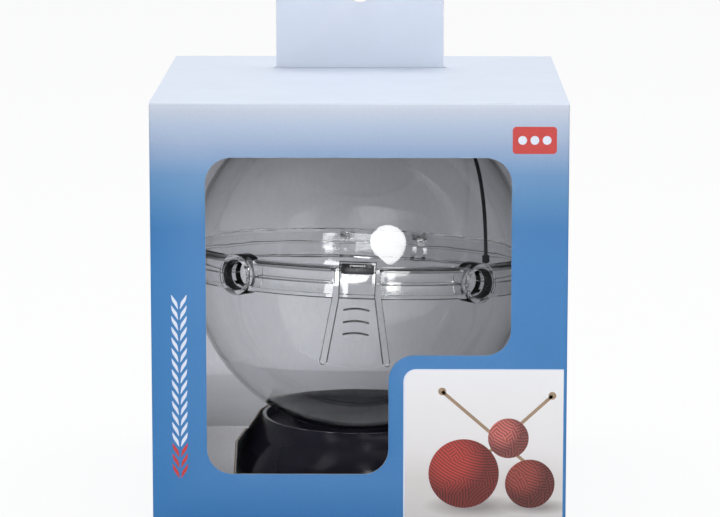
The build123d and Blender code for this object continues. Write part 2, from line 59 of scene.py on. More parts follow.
# carton and its print
FOLD_REACH = 0.0008      # a face this close to a folded end belongs to the fold
CREASE = 0.00014         # closes the crease under a lid flap
INK = 0.00004            # thickness that a printed layer is drawn with
PRINT_DEPTH = 3 * INK + 0.00001      # the front sheet stands back so that the printed layers stay flush
STRAND = 0.00022         # a strand of printed wool is this times two pi across
WINDOW_LEFT, WINDOW_RIGHT, WINDOW_STEP = -0.0735, 0.0728, 0.0141
WINDOW_TOP, WINDOW_SHELF, WINDOW_SILL = 0.0266, 0.1223, 0.181        # all below the top of the lid
WINDOW_ROUND = 0.0124
TAB_ROUND, HANG_HOLE, HANG_HOLE_X, HANG_HOLE_RISE = 0.007, 0.006, -0.0013, 0.0397

# tray; the foot and the globe stand on the same middle line
MIDDLE_X = -0.001
TRAY_HOLE, TRAY_MOUTH = 0.052, 0.0555          # half widths of the hole and of its mouth at the front
SKIRT_TOP, SKIRT_KNEE, SKIRT_FOOT = 0.0562, 0.0612, 0.0625           # half widths between the skirts
KNEE_DROP = 0.008        # the knee of a skirt's inner end lies this far below the platform
KNIFE_SLANT = 0.0014     # how far the knife cut leans, so that the board's core shows from the front

# globe, all in its own frame: middle at the origin, latch towards -Y
GLOBE_Z, LEAN_BACK, LEAN_RIGHT = 0.112, -3.2, 2.0
FLANGE_HEIGHT, FLANGE_WEB, HALF_GAP = 0.0073, 0.0053, 0.00015
PAINTED_SHADE_SHARE = 0.05            # painted shade: the clear wall's broken edges are tinted down to this share, so that they read as dark lines
EDGE_ROUND = 0.00055     # moulded rounding along the slits, the tongue and the latch's recess
EYELET_TURN = math.radians(39)
EYELET_BORE, SLEEVE_BORE, SLEEVE_SEAT = 0.0066, 0.0075, 0.0896
HINGE_Y, HINGE_Z, PIN = 0.0958, 0.0036, 0.0011
HINGE_STARTS, HINGE_LENGTH = (-0.0118, 0.0278), 0.008
BARREL, KNUCKLE, KNUCKLE_GAP, KNUCKLE_ROOT = 0.0021, 0.0022, 0.0003, 0.0845
POCKET_Y, POCKET_HALF = -0.0913, 0.0108        # recess in the dome's flange for the latch's head
GAP_TOP, GAP_FOOT, GAP_END, GAP_LENGTH = 0.0117, 0.0170, -0.0413, 0.034        # for tongue and slits
TONGUE_TOP, TONGUE_FOOT, TONGUE_SPREAD = 0.0089, 0.0142, 0.0053
SLIT_ROUND = 0.0014
COLLAR_RADIUS, COLLAR_LENGTH, COLLAR_START = 0.010, 0.0109, 0.0846
GRIPS = (-0.0130, -0.0192, -0.0253)            # heights of the ridges on the tongue


# ------------------------------------------------------------------ settings
COLOUR = {"subtype": "COLOR", "size": 3, "min": 0, "max": 1}
LENGTH = {"subtype": "DISTANCE", "unit": "LENGTH"}


class CartonSettings(bpy.types.PropertyGroup):
    """Board and print of the carton."""

    blue: FloatVectorProperty(
        name="Print blue", description="Main ink of the walls", default=(0.034, 0.194, 0.472), **COLOUR)
    white: FloatVectorProperty(
        name="Coated white", description="Unprinted coated side of the board", default=(0.73, 0.79, 0.90),
        **COLOUR)
    lining: FloatVectorProperty(
        name="Lining", description="Uncoated inner side of the board", default=(0.87, 0.87, 0.90), **COLOUR)
    kraft: FloatVectorProperty(
        name="Cut edge", description="Core of the board where it is cut", default=(0.36, 0.29, 0.22),
        **COLOUR)
    red: FloatVectorProperty(
        name="Print red", description="Accent ink", default=(0.58, 0.033, 0.026), **COLOUR)
    edge_round: FloatProperty(
        name="Cut edge rounding", description="Softness of cut edges", min=0, default=0.00018, **LENGTH)
    fold_round: FloatProperty(
        name="Fold rounding", description="Outer radius of a folded corner", min=0, default=0.0009, **LENGTH)


class GlobeSettings(bpy.types.PropertyGroup):
    """The clear globe."""

    radius: FloatProperty(name="Radius", description="Outer radius of the globe", default=0.086, **LENGTH)
    wall: FloatProperty(name="Wall", description="Wall thickness", default=0.002, **LENGTH)
    flange: FloatProperty(
        name="Flange radius", description="Outer radius of the flange", default=0.094, **LENGTH)
    tint: FloatVectorProperty(
        name="Tint", description="Colour of the clear plastic", default=(0.985, 0.988, 0.993), **COLOUR)


class FootSettings(bpy.types.PropertyGroup):
    """The foot that the globe lies in."""

    colour: FloatVectorProperty(
        name="Colour", description="Dark glossy plastic", default=(0.012, 0.011, 0.019), **COLOUR)


class CordSettings(bpy.types.PropertyGroup):
    """The carry cord."""

    diameter: FloatProperty(name="Diameter", description="Thickness of the cord", default=0.0018, **LENGTH)


# ------------------------------------------------------------------ modelling tools
def deselect():
    """Leave nothing selected, so that the next operator acts on its own piece."""
    if bpy.context.mode != "OBJECT":
        bpy.ops.object.mode_set(mode="OBJECT")
    bpy.ops.object.select_all(action="DESELECT")


def activate(piece):
    """Select one piece alone."""
    deselect()
    piece.select_set(True)
    bpy.context.view_layer.objects.active = piece


def open_mesh(piece, select="DESELECT"):
    """Go into edit mode on one piece."""
    activate(piece)
    bpy.ops.object.mode_set(mode="EDIT")
    bpy.ops.mesh.select_mode(type="VERT")
    bpy.ops.mesh.select_all(action=select)


def close_mesh():
    """Leave edit mode."""
    bpy.ops.object.mode_set(mode="OBJECT")


def pick(piece, kind, test):
    """In edit mode, select the vertices, edges or faces whose middle passes the test."""
    bpy.ops.mesh.select_all(action="DESELECT")
    bpy.ops.mesh.select_mode(type={"verts": "VERT", "edges": "EDGE", "faces": "FACE"}[kind])
    mesh = bmesh.from_edit_mesh(piece.data)
    for part in getattr(mesh, kind):
        if kind == "verts":
            chosen = test(part.co)
        elif kind == "edges":
            a, b = (v.co for v in part.verts)
            chosen = test((a + b) / 2, (b - a).normalized())
        else:
            chosen = test(part.calc_center_median(), part.normal)
        part.select_set(chosen)
    mesh.select_flush_mode()
    bmesh.update_edit_mesh(piece.data)


def apply_all(piece):
    """Apply every modifier."""
    activate(piece)
    for modifier in list(piece.modifiers):
        bpy.ops.object.modifier_apply(modifier=modifier.name)
    return piece


def place(piece, matrix):
    """Move a piece's mesh, leaving its object at the origin."""
    piece.matrix_world = matrix @ piece.matrix_world
    activate(piece)
    bpy.ops.object.transform_apply(location=True, rotation=True, scale=True)
    return piece


def arc(radius, start, end, steps, middle=(0.0, 0.0)):
    """Points on a circle, from one angle above level to another, in degrees."""
    turns = [math.radians(start + (end - start) * i / steps) for i in range(steps + 1)]
    return [(middle[0] + radius * math.cos(t), middle[1] + radius * math.sin(t)) for t in turns]


def level(radius, z):
    """The angle at which a circle about the origin reaches a height."""
    return math.degrees(math.asin(z / radius))


def meet(a, b):
    """Whether two measures are the same."""
    return abs(a - b) < SAME


def rectangle(left, bottom, right, top):
    """Corners of an upright box, from the lower left and round."""
    return [(left, bottom), (right, bottom), (right, top), (left, top)]


def upright(points, y):
    """Points of a front view, set up at a depth."""
    return [(x, y, z) for x, z in points]


def facing(x, y, z):
    """Matrix that lays a rod along the depth, pointing to the rear."""
    return Matrix.Translation((x, y, z)) @ Matrix.Rotation(math.radians(-90), 4, "X")


def block(name, low, high):
    """A cube primitive that fills the box from low to high."""
    deselect()
    low, high = Vector(low), Vector(high)
    bpy.ops.mesh.primitive_cube_add(size=1, location=(low + high) / 2)
    piece = bpy.context.object
    piece.name = name
    piece.scale = high - low
    bpy.ops.object.transform_apply(location=True, rotation=True, scale=True)
    return piece


def chain(name, points):
    """Edges from point to point, drawn by extruding a single vertex."""
    deselect()
    bpy.ops.mesh.primitive_plane_add(size=0.001, location=(0, 0, 0))
    piece = bpy.context.object
    piece.name = name
    open_mesh(piece, "SELECT")
    bpy.ops.mesh.merge(type="CENTER")
    bpy.ops.transform.translate(value=points[0])
    for here, there in zip(points, points[1:]):
        step = Vector(there) - Vector(here)
        bpy.ops.mesh.extrude_vertices_move(TRANSFORM_OT_translate={"value": step})
    close_mesh()
    return piece


def outline(name, points, corner=0.0, rounded=None, steps=8):
    """A flat face with the given corners. Those in rounded, or all, are rounded to the corner radius."""
    piece = chain(name, points)
    open_mesh(piece, "SELECT")
    bpy.ops.mesh.edge_face_add()
    if corner:
        near = [Vector(points[i]) for i in (range(len(points)) if rounded is None else rounded)]
        pick(piece, "verts", lambda p: any((p - q).length < 1e-6 for q in near))
        bpy.ops.mesh.bevel(offset=corner, segments=steps, affect="VERTICES")
    close_mesh()
    return piece


def prism(name, points, depth, corner=0.0, rounded=None, steps=8):
    """A flat outline pulled out by the depth vector into a solid."""
    piece = outline(name, points, corner, rounded, steps)
    open_mesh(piece, "SELECT")
    bpy.ops.mesh.extrude_region_move(TRANSFORM_OT_translate={"value": Vector(depth)})
    bpy.ops.mesh.select_all(action="SELECT")
    bpy.ops.mesh.normals_make_consistent(inside=False)
    close_mesh()
    return piece


def turned(name, points, steps=160, closed=True):
    """A profile in the XZ plane spun about Z. Its points run once round the section."""
    piece = chain(name, [(x, 0, z) for x, z in points])
    open_mesh(piece, "SELECT")
    if closed:
        ends = [Vector((points[0][0], 0, points[0][1])), Vector((points[-1][0], 0, points[-1][1]))]
        pick(piece, "verts", lambda p: any((p - q).length < 1e-7 for q in ends))
        bpy.ops.mesh.edge_face_add()
    bpy.ops.mesh.select_all(action="SELECT")
    bpy.ops.mesh.spin(steps=steps, angle=2 * math.pi, center=(0, 0, 0), axis=(0, 0, 1))
    bpy.ops.mesh.select_all(action="SELECT")
    bpy.ops.mesh.remove_doubles(threshold=1e-7)
    bpy.ops.mesh.normals_make_consistent(inside=False)
    close_mesh()
    return piece


def rod(name, radius, length, sides=64):
    """A cylinder primitive from the origin up +Z."""
    deselect()
    bpy.ops.mesh.primitive_cylinder_add(
        vertices=sides, radius=radius, depth=length, location=(0, 0, length / 2))
    piece = bpy.context.object
    piece.name = name
    bpy.ops.object.transform_apply(location=True, rotation=True, scale=True)
    return piece


def combine(piece, tool, how):
    """Boolean of two pieces; the tool is used up."""
    modifier = piece.modifiers.new("combine", "BOOLEAN")
    modifier.operation = how
    modifier.solver = "EXACT"
    modifier.object = tool
    activate(piece)
    bpy.ops.object.modifier_apply(modifier=modifier.name)
    bpy.data.objects.remove(tool)
    return piece


def round_edges(piece, width, steps=2, angle=40):
    """Soften all edges sharper than the angle."""
    modifier = piece.modifiers.new("soft_edges", "BEVEL")
    modifier.width = width
    modifier.segments = steps
    modifier.limit_method = "ANGLE"
    modifier.angle_limit = math.radians(angle)
    modifier.use_clamp_overlap = True
    return apply_all(piece)


def round_fold(piece, test, width, steps=4):
    """Round chosen edges, as a fold is."""
    open_mesh(piece)
    pick(piece, "edges", test)
    bpy.ops.mesh.bevel(offset=width, segments=steps, affect="EDGES")
    close_mesh()


def smooth(piece, angle):
    """Shade smooth, with edges sharper than the angle left crisp."""
    activate(piece)
    bpy.ops.object.shade_smooth_by_angle(angle=math.radians(angle))


def paint(piece, *materials, choose=None):
    """Give a piece its materials; choose returns the slot of a face from its middle and normal."""
    piece.data.materials.clear()
    for material in materials:
        piece.data.materials.append(material)
    if choose:
        for face in piece.data.polygons:
            face.material_index = choose(face.center, face.normal)


def finish_piece(piece, body, slot, *nodes):
    """Put a piece on its body and hide the CAD nodes that it stands for. The slot is not used."""
    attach(piece, body)
    if nodes:
        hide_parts(*nodes)


# ------------------------------------------------------------------ materials
class Nodes:
    """A node tree, with short ways to add and join nodes."""

    def __init__(self, tree):
        self.tree = tree

    def node(self, kind, **inputs):
        """A new node with its own socket values, _ for a blank in their names."""
        made = self.tree.nodes.new(kind)
        for key, value in inputs.items():
            made.inputs[key.replace("_", " ")].default_value = value
        return made

    def join(self, source, target):
        """Link an output to an input."""
        self.tree.links.new(source, target)

    def maths(self, operation, a, b=None):
        """Arithmetic on a socket and a second socket or number."""
        made = self.node("ShaderNodeMath")
        made.operation = operation
        self.join(a, made.inputs[0])
        if isinstance(b, bpy.types.NodeSocket):
            self.join(b, made.inputs[1])
        elif b is not None:
            made.inputs[1].default_value = b
        return made.outputs["Value"]

    def show(self, factor, first, second, output):
        """Send the first shader to the output where the factor is 0, and the second where it is 1."""
        mixer = self.node("ShaderNodeMixShader")
        self.join(factor, mixer.inputs["Fac"])
        self.join(first, mixer.inputs[1])
        self.join(second, mixer.inputs[2])
        self.join(mixer.outputs["Shader"], output.inputs["Surface"])

    def seen_by(self, ray):
        """1 for rays of one kind, 0 for the others."""
        return self.node("ShaderNodeLightPath").outputs[f"Is {ray} Ray"]


class Finish(Nodes):
    """The node tree of one material."""

    def __init__(self, name):
        self.material = bpy.data.materials.new(name)
        self.material.use_nodes = True
        super().__init__(self.material.node_tree)
        self.shader = self.tree.nodes["Principled BSDF"]
        self.output = self.tree.nodes["Material Output"]

    def place(self):
        """Where on the piece a point is."""
        return self.node("ShaderNodeTexCoord").outputs["Object"]

    def noise(self, scale, detail=3.0, rough=0.55, stretch=None):
        """Cloudy pattern, stretched along an axis where asked."""
        texture = self.node("ShaderNodeTexNoise", Scale=scale, Detail=detail, Roughness=rough)
        where = self.place()
        if stretch:
            mapping = self.node("ShaderNodeMapping", Scale=stretch)
            self.join(where, mapping.inputs["Vector"])
            where = mapping.outputs["Vector"]
        self.join(where, texture.inputs["Vector"])
        return texture.outputs["Fac"]

    def ramp(self, factor, stops, mode="LINEAR"):
        """Colour for a number, by stops of position and colour."""
        ramp = self.tree.nodes.new("ShaderNodeValToRGB")
        ramp.color_ramp.interpolation = mode
        elements = ramp.color_ramp.elements
        while len(elements) > len(stops):
            elements.remove(elements[-1])
        while len(elements) < len(stops):
            elements.new(1.0)
        for element, (position, colour) in zip(elements, stops):
            element.position = position
            element.color = (*colour, 1) if len(colour) == 3 else colour
        self.join(factor, ramp.inputs["Fac"])
        return ramp.outputs["Color"]

    def span(self, value, low, high, to_low=0.0, to_high=1.0):
        """Move a range of numbers onto another."""
        mapped = self.node("ShaderNodeMapRange", From_Min=low, From_Max=high, To_Min=to_low, To_Max=to_high)
        self.join(value, mapped.inputs["Value"])
        return mapped.outputs["Result"]

    def axis(self, letter):
        """One coordinate on the piece."""
        split = self.node("ShaderNodeSeparateXYZ")
        self.join(self.place(), split.inputs["Vector"])
        return split.outputs[letter]

    def mix(self, factor, a, b, blend="MIX"):
        """Blend two colours or colour sockets."""
        mixer = self.tree.nodes.new("ShaderNodeMix")
        mixer.data_type = "RGBA"
        mixer.blend_type = blend
        for socket, value in ((mixer.inputs[0], factor), (mixer.inputs[6], a), (mixer.inputs[7], b)):
            if isinstance(value, bpy.types.NodeSocket):
                self.join(value, socket)
            elif isinstance(value, float):
                socket.default_value = value
            else:
                socket.default_value = (*value, 1) if len(value) == 3 else value
        return mixer.outputs[2]

    def bump(self, height, strength, distance):
        """Relief in the surface."""
        bump = self.node("ShaderNodeBump", Strength=strength, Distance=distance)
        self.join(height, bump.inputs["Height"])
        self.join(bump.outputs["Normal"], self.shader.inputs["Normal"])

    def colour(self, socket):
        """Base colour from a socket."""
        self.join(socket, self.shader.inputs["Base Color"])

    def mottle(self, pattern, dark, pale, low=0.30, high=0.70):
        """Colour that wanders from dark to pale with a pattern."""
        self.colour(self.ramp(pattern, [(low, dark), (high, pale)]))

    def wear(self, pattern, least, most, low=0.3, high=0.7):
        """Roughness that wanders with a pattern."""
        self.join(self.span(pattern, low, high, least, most), self.shader.inputs["Roughness"])

    def set(self, **inputs):
        """Fixed values on the shader's own sockets."""
        for key, value in inputs.items():
            self.shader.inputs[key.replace("_", " ")].default_value = value

    def from_point(self, x, z, width=1.0, height=1.0):
        """Distance from a point of the front, counted in half widths and half heights."""
        mapping = self.node(
            "ShaderNodeMapping", Location=(-x / width, 0, -z / height), Scale=(1 / width, 0, 1 / height))
        self.join(self.place(), mapping.inputs["Vector"])
        length = self.tree.nodes.new("ShaderNodeVectorMath")
        length.operation = "LENGTH"
        self.join(mapping.outputs["Vector"], length.inputs[0])
        return length.outputs["Value"]


def shaded(colour, factor):
    """A colour made darker or paler."""
    return tuple(min(1.0, c * factor) for c in colour)


def grey(value):
    """A colour without hue."""
    return (value, value, value)


def printed_board(name, white, blue, top, fade):
    """Coated board with blue ink that fades to white towards the top edge; just above where the blue is full,
    a band is painted darker as shade against the stronger light there.
    """
    f = Finish(name)
    stops = [
        (0.00, shaded(white, 0.88)),
        (0.05, (0.545, 0.600, 0.710)),
        (0.10, (0.475, 0.555, 0.690)),
        (0.16, (0.410, 0.505, 0.665)),
        (0.23, (0.345, 0.445, 0.615)),
        (0.28, (0.290, 0.395, 0.585)),
        (0.44, (0.125, 0.280, 0.510)),
        (0.59, (0.075, 0.235, 0.475)),
        # painted shade: this stop is darker than the full blue, to offset the stronger light at this height
        (0.76, (0.034, 0.184, 0.445)),
        (1.00, blue),
    ]
    fade_and_painted_shade = f.ramp(f.span(f.axis("Z"), top, top - fade), stops)
    speckle = f.ramp(f.noise(900, 2), [(0.30, grey(0.955)), (0.70, grey(1.0))])
    f.colour(f.mix(1.0, fade_and_painted_shade, speckle, "MULTIPLY"))
    f.wear(f.noise(60, 3), 0.30, 0.40)
    f.bump(f.noise(1400, 2), 0.06, 0.0002)
    f.set(IOR=1.45)
    return f.material


def coated_board(name, white):
    """Unprinted coated board, satin, with a faint cloudiness."""
    f = Finish(name)
    f.mottle(f.noise(35, 4), shaded(white, 0.965), white)
    f.wear(f.noise(50, 3), 0.38, 0.50)
    f.bump(f.noise(1200, 2), 0.07, 0.0002)
    f.set(IOR=1.42)
    return f.material


def lining_board(name, lining):
    """Uncoated inner side of the board, matte, with short fibres."""
    f = Finish(name)
    fibre = f.noise(700, 4, 0.7, (1.0, 1.0, 0.35))
    base = f.ramp(f.noise(28, 3), [(0.30, shaded(lining, 0.95)), (0.70, lining)])
    flecks = f.ramp(fibre, [(0.35, grey(0.93)), (0.65, grey(1.0))])
    f.colour(f.mix(1.0, base, flecks, "MULTIPLY"))
    f.set(Roughness=0.82)
    f.bump(fibre, 0.12, 0.0003)
    return f.material


def cut_board(name, kraft, lining=None, axis="Y", middle=0.0):
    """The cut edge: brown core with darker fibres, between the two pale faces where lining is given."""
    f = Finish(name)
    fibre = f.noise(1500, 3, 0.7)
    core = f.ramp(fibre, [(0.30, shaded(kraft, 0.7)), (0.70, shaded(kraft, 1.2))])
    if lining:
        depth = f.span(f.axis(axis), middle - 0.0005, middle + 0.0005)
        faces = f.ramp(depth, [(0.0, grey(1)), (0.24, grey(0)), (0.76, grey(1))], "CONSTANT")
        core = f.mix(faces, core, lining)
    f.colour(core)
    f.set(Roughness=0.9)
    f.bump(fibre, 0.3, 0.0003)
    return f.material


def ink(name, colour, rough=0.42):
    """A flat printed colour with a little unevenness."""
    f = Finish(name)
    f.mottle(f.noise(400, 3), shaded(colour, 0.90), colour)
    f.set(Roughness=rough)
    return f.material


def clear_plastic(name, tint):
    """Clear moulded plastic; light passes it on its way to what lies inside."""
    f = Finish(name)
    f.set(Base_Color=(*tint, 1), IOR=1.49, Transmission_Weight=1.0, Metallic=0.0)
    f.wear(f.noise(45, 3), 0.0, 0.035, 0.35, 0.75)
    # the moulding is wavy about the flange and nearly even elsewhere
    band = f.ramp(f.span(f.axis("Z"), 0.085, 0.139), [
        (0.0, grey(0.08)), (0.35, grey(1)), (0.65, grey(1)), (1.0, grey(0.08)),
    ])
    f.bump(f.maths("MULTIPLY", f.span(f.noise(55, 1), 0.0, 1.0, -0.5, 0.5), band), 0.5, 0.0008)
    see_through = f.node("ShaderNodeBsdfTransparent", Color=(*tint, 1))
    f.show(f.seen_by("Shadow"), f.shader.outputs["BSDF"], see_through.outputs["BSDF"], f.output)
    return f.material


def joined_wall(name):
    """The unseen face where two stretches of one clear wall meet."""
    f = Finish(name)
    f.wear(f.noise(45, 3), 0.0, 0.035, 0.35, 0.75)
    f.set(Alpha=0.0)
    return f.material


def dark_plastic(name, colour):
    """Glossy dark moulding with faint flow marks and dust."""
    f = Finish(name)
    f.mottle(f.noise(30, 4), colour, shaded(colour, 1.5), high=0.75)
    f.wear(f.noise(160, 4), 0.13, 0.24, high=0.75)
    f.bump(f.noise(240, 2), 0.02, 0.0004)
    f.set(IOR=1.50)
    return f.material


def grained_plastic(name, colour):
    """The same dark moulding with a fine spark-eroded grain, which hardly shines."""
    f = Finish(name)
    grain = f.noise(1800, 3, 0.65)
    f.mottle(grain, shaded(colour, 0.5), colour, high=0.75)
    f.wear(f.noise(60, 3), 0.52, 0.62)
    f.bump(grain, 0.35, 0.0002)
    f.set(Specular_IOR_Level=0.12)
    return f.material


def black_rubber(name):
    """Smooth black rubber."""
    f = Finish(name)
    f.mottle(f.noise(500, 3), (0.010, 0.010, 0.012), (0.020, 0.020, 0.023))
    f.wear(f.noise(300, 3), 0.16, 0.30)
    f.bump(f.noise(900, 2), 0.08, 0.0002)
    return f.material


def braided_cord(name):
    """Fine diagonal braid from two crossing waves along the cord."""
    f = Finish(name)
    waves = []
    for direction in ("DIAGONAL", "Z"):
        wave = f.node("ShaderNodeTexWave", Scale=380.0, Distortion=0.4)
        wave.bands_direction = direction
        f.join(f.place(), wave.inputs["Vector"])
        waves.append(wave.outputs["Color"])
    braid = f.mix(0.5, *waves)
    f.mottle(braid, (0.003, 0.003, 0.005), (0.013, 0.013, 0.018), 0.25, 0.80)
    f.set(Roughness=0.62, Sheen_Weight=0.04)
    f.bump(braid, 0.35, 0.0003)
    return f.material


def steel_wire(name):
    """Drawn wire, with fine lines along it."""
    f = Finish(name)
    f.mottle(f.noise(300, 3, 0.6, (0.1, 1.0, 1.0)), (0.52, 0.53, 0.55), (0.70, 0.71, 0.73))
    f.set(Metallic=1.0)
    f.wear(f.noise(400, 3, 0.6, (0.05, 1.0, 1.0)), 0.20, 0.34)
    return f.material


materials = {}


def library(context):
    """All finishes, made once."""
    if materials:
        return materials
    carton = context.scene.yarn_carton
    white, blue, lining, kraft, red = (
        tuple(colour) for colour in (carton.white, carton.blue, carton.lining, carton.kraft, carton.red))
    tint, foot = tuple(context.scene.yarn_globe.tint), tuple(context.scene.yarn_foot.colour)
    skirt_middle = sum(p.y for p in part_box("tray_skirt_left")) / 2
    materials.update(
        printed=printed_board("printed_board_blue", white, blue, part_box("lid_front_flap")[1].z, 0.080),
        white=coated_board("coated_board_white", white),
        lining=lining_board("uncoated_board_grey", lining),
        kraft=cut_board("cut_edge_kraft", kraft),
        skirt_edge=cut_board("cut_edge_skirt", kraft, lining, "Y", skirt_middle),
        pale=ink("cut_edge_pale", grey(0.70), 0.8),
        red=ink("print_red", red),
        clear=clear_plastic("clear_plastic", tint),
        # the same clear plastic tinted dark: painted shade on the edges that should read as dark lines
        end_on=clear_plastic("clear_plastic_end_on", shaded(tint, PAINTED_SHADE_SHARE)),
        joined=joined_wall("clear_plastic_joined"),
        dark=dark_plastic("dark_glossy_plastic", foot),
        grained=grained_plastic("dark_grained_plastic", foot),
        rubber=black_rubber("black_rubber"),
        cord=braided_cord("black_braided_cord"),
        steel=steel_wire("drawn_steel_wire"),
    )
    return materials


# ------------------------------------------------------------------ carton
def board_panel(name, node, body, slot, outside, wraps=(), edge="pale", folds=None, cuts=None, tool=None,
                shift=((0, 0, 0), (0, 0, 0))):
    """A flat panel over its node, with its outer finish on the side given by outside and lining behind.

    wraps names the ends, as axis and side, where the sheet is folded on, so that no cut edge shows there.
    folds and cuts choose the edges that are folded round and cut soft, tool makes the piece that cuts the
    opening, and shift moves the low and high corners a hair to close a crease.
    """
    low, high = (Vector(corner) + Vector(move) for corner, move in zip(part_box(node), shift))
    thin = min(range(3), key=lambda i: high[i] - low[i])
    middle = (low[thin] + high[thin]) / 2
    sizes = bpy.context.scene.yarn_carton
    finishes = library(bpy.context)
    piece = block(name, low, high)
    if tool:
        combine(piece, tool(), "DIFFERENCE")
    for chosen, width in ((folds, sizes.fold_round), (cuts, sizes.edge_round)):
        if chosen:
            round_fold(piece, chosen, width)

    def choose(centre, normal):
        if abs(normal[thin]) > 0.8:
            return 0 if outside[1] * (centre[thin] - middle) > 0 else 1
        if any(abs(centre[axis] - (low if side < 0 else high)[axis]) < FOLD_REACH for axis, side in wraps):
            return 0
        return 2

    paint(piece, finishes[outside[0]], finishes["lining"], finishes[edge], choose=choose)
    smooth(piece, 50)
    finish_piece(piece, body, slot, node)
    return piece


def window_cutter():
    """The stepped window as a solid to cut with."""
    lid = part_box("lid_front_flap")[1].z
    top, shelf, sill = lid - WINDOW_TOP, lid - WINDOW_SHELF, lid - WINDOW_SILL
    face = [(WINDOW_LEFT, top), (WINDOW_RIGHT, top), (WINDOW_RIGHT, shelf), (WINDOW_STEP, shelf),
            (WINDOW_STEP, sill), (WINDOW_LEFT, sill)]
    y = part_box("carton_front_panel")[0].y - 0.002
    return prism("window_cutter", upright(face, y), (0, 0.006, 0), WINDOW_ROUND, steps=10)


class CARTON_OT_walls(bpy.types.Operator):
    """Model the four walls, the glue flap and the stepped window"""

    bl_idname = "yarnbox.walls"
    bl_label = "Carton walls"

    def execute(self, context):
        low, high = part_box("carton_front_panel")
        front, rear = low.y + PRINT_DEPTH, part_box("carton_rear_panel")[1].y
        sides = ((0, -1), (0, 1))

        def corner(y):
            return lambda p, d: abs(d.z) > 0.9 and meet(p.y, y) and meet(abs(p.x), high.x)

        def window_edge(p, d):
            return abs(d.y) < 0.5 and abs(p.x) < high.x - 0.002 and low.z + 0.002 < p.z < high.z - 0.002

        wall = ("carton", "printed_board_blue")
        board_panel("front_panel", "carton_front_panel", *wall, ("printed", -1), sides, folds=corner(front),
                    cuts=window_edge, tool=window_cutter, shift=((0, PRINT_DEPTH, 0), (0, 0, CREASE)))
        board_panel("rear_panel", "carton_rear_panel", *wall, ("printed", 1), sides, folds=corner(rear),
                    shift=((0, 0, 0), (0, 0, CREASE)))
        for word, side in (("left", -1), ("right", 1)):
            board_panel(word + "_panel", f"carton_{word}_panel", *wall, ("printed", side))

        # the glue flap tapers towards its free end
        a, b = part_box("carton_glue_flap")
        taper = 0.008
        face = [(a.x, b.y, a.z), (a.x, b.y, b.z), (a.x, a.y, b.z - taper), (a.x, a.y, a.z + taper)]
        flap = prism("glue_flap", face, (b.x - a.x, 0, 0))
        finishes = library(context)
        paint(flap, finishes["lining"], finishes["kraft"], choose=lambda c, n: 0 if abs(n.x) > 0.5 else 1)
        finish_piece(flap, "carton", "grey_board", "carton_glue_flap")
        return {"FINISHED"}


class CARTON_OT_bottom(bpy.types.Operator):
    """Model the crossed bottom flaps"""

    bl_idname = "yarnbox.bottom"
    bl_label = "Carton bottom"

    def execute(self, context):
        low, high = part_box("carton_bottom_outer")

        def foot_edge(p, d):
            return abs(d.z) < 0.1 and meet(p.z, low.z) and (meet(abs(p.x), high.x) or meet(abs(p.y), high.y))

        board_panel("bottom_outer_flap", "carton_bottom_outer", "carton", "printed_board_blue",
                    ("printed", -1), ((0, -1), (0, 1), (1, -1), (1, 1)), folds=foot_edge)
        for flap, node in (("inner_flap", "inner"), ("dust_flap_left", "dust_left"),
                           ("dust_flap_right", "dust_right")):
            board_panel("bottom_" + flap, "carton_bottom_" + node, "carton", "grey_board", ("white", -1),
                        edge="kraft")
        return {"FINISHED"}


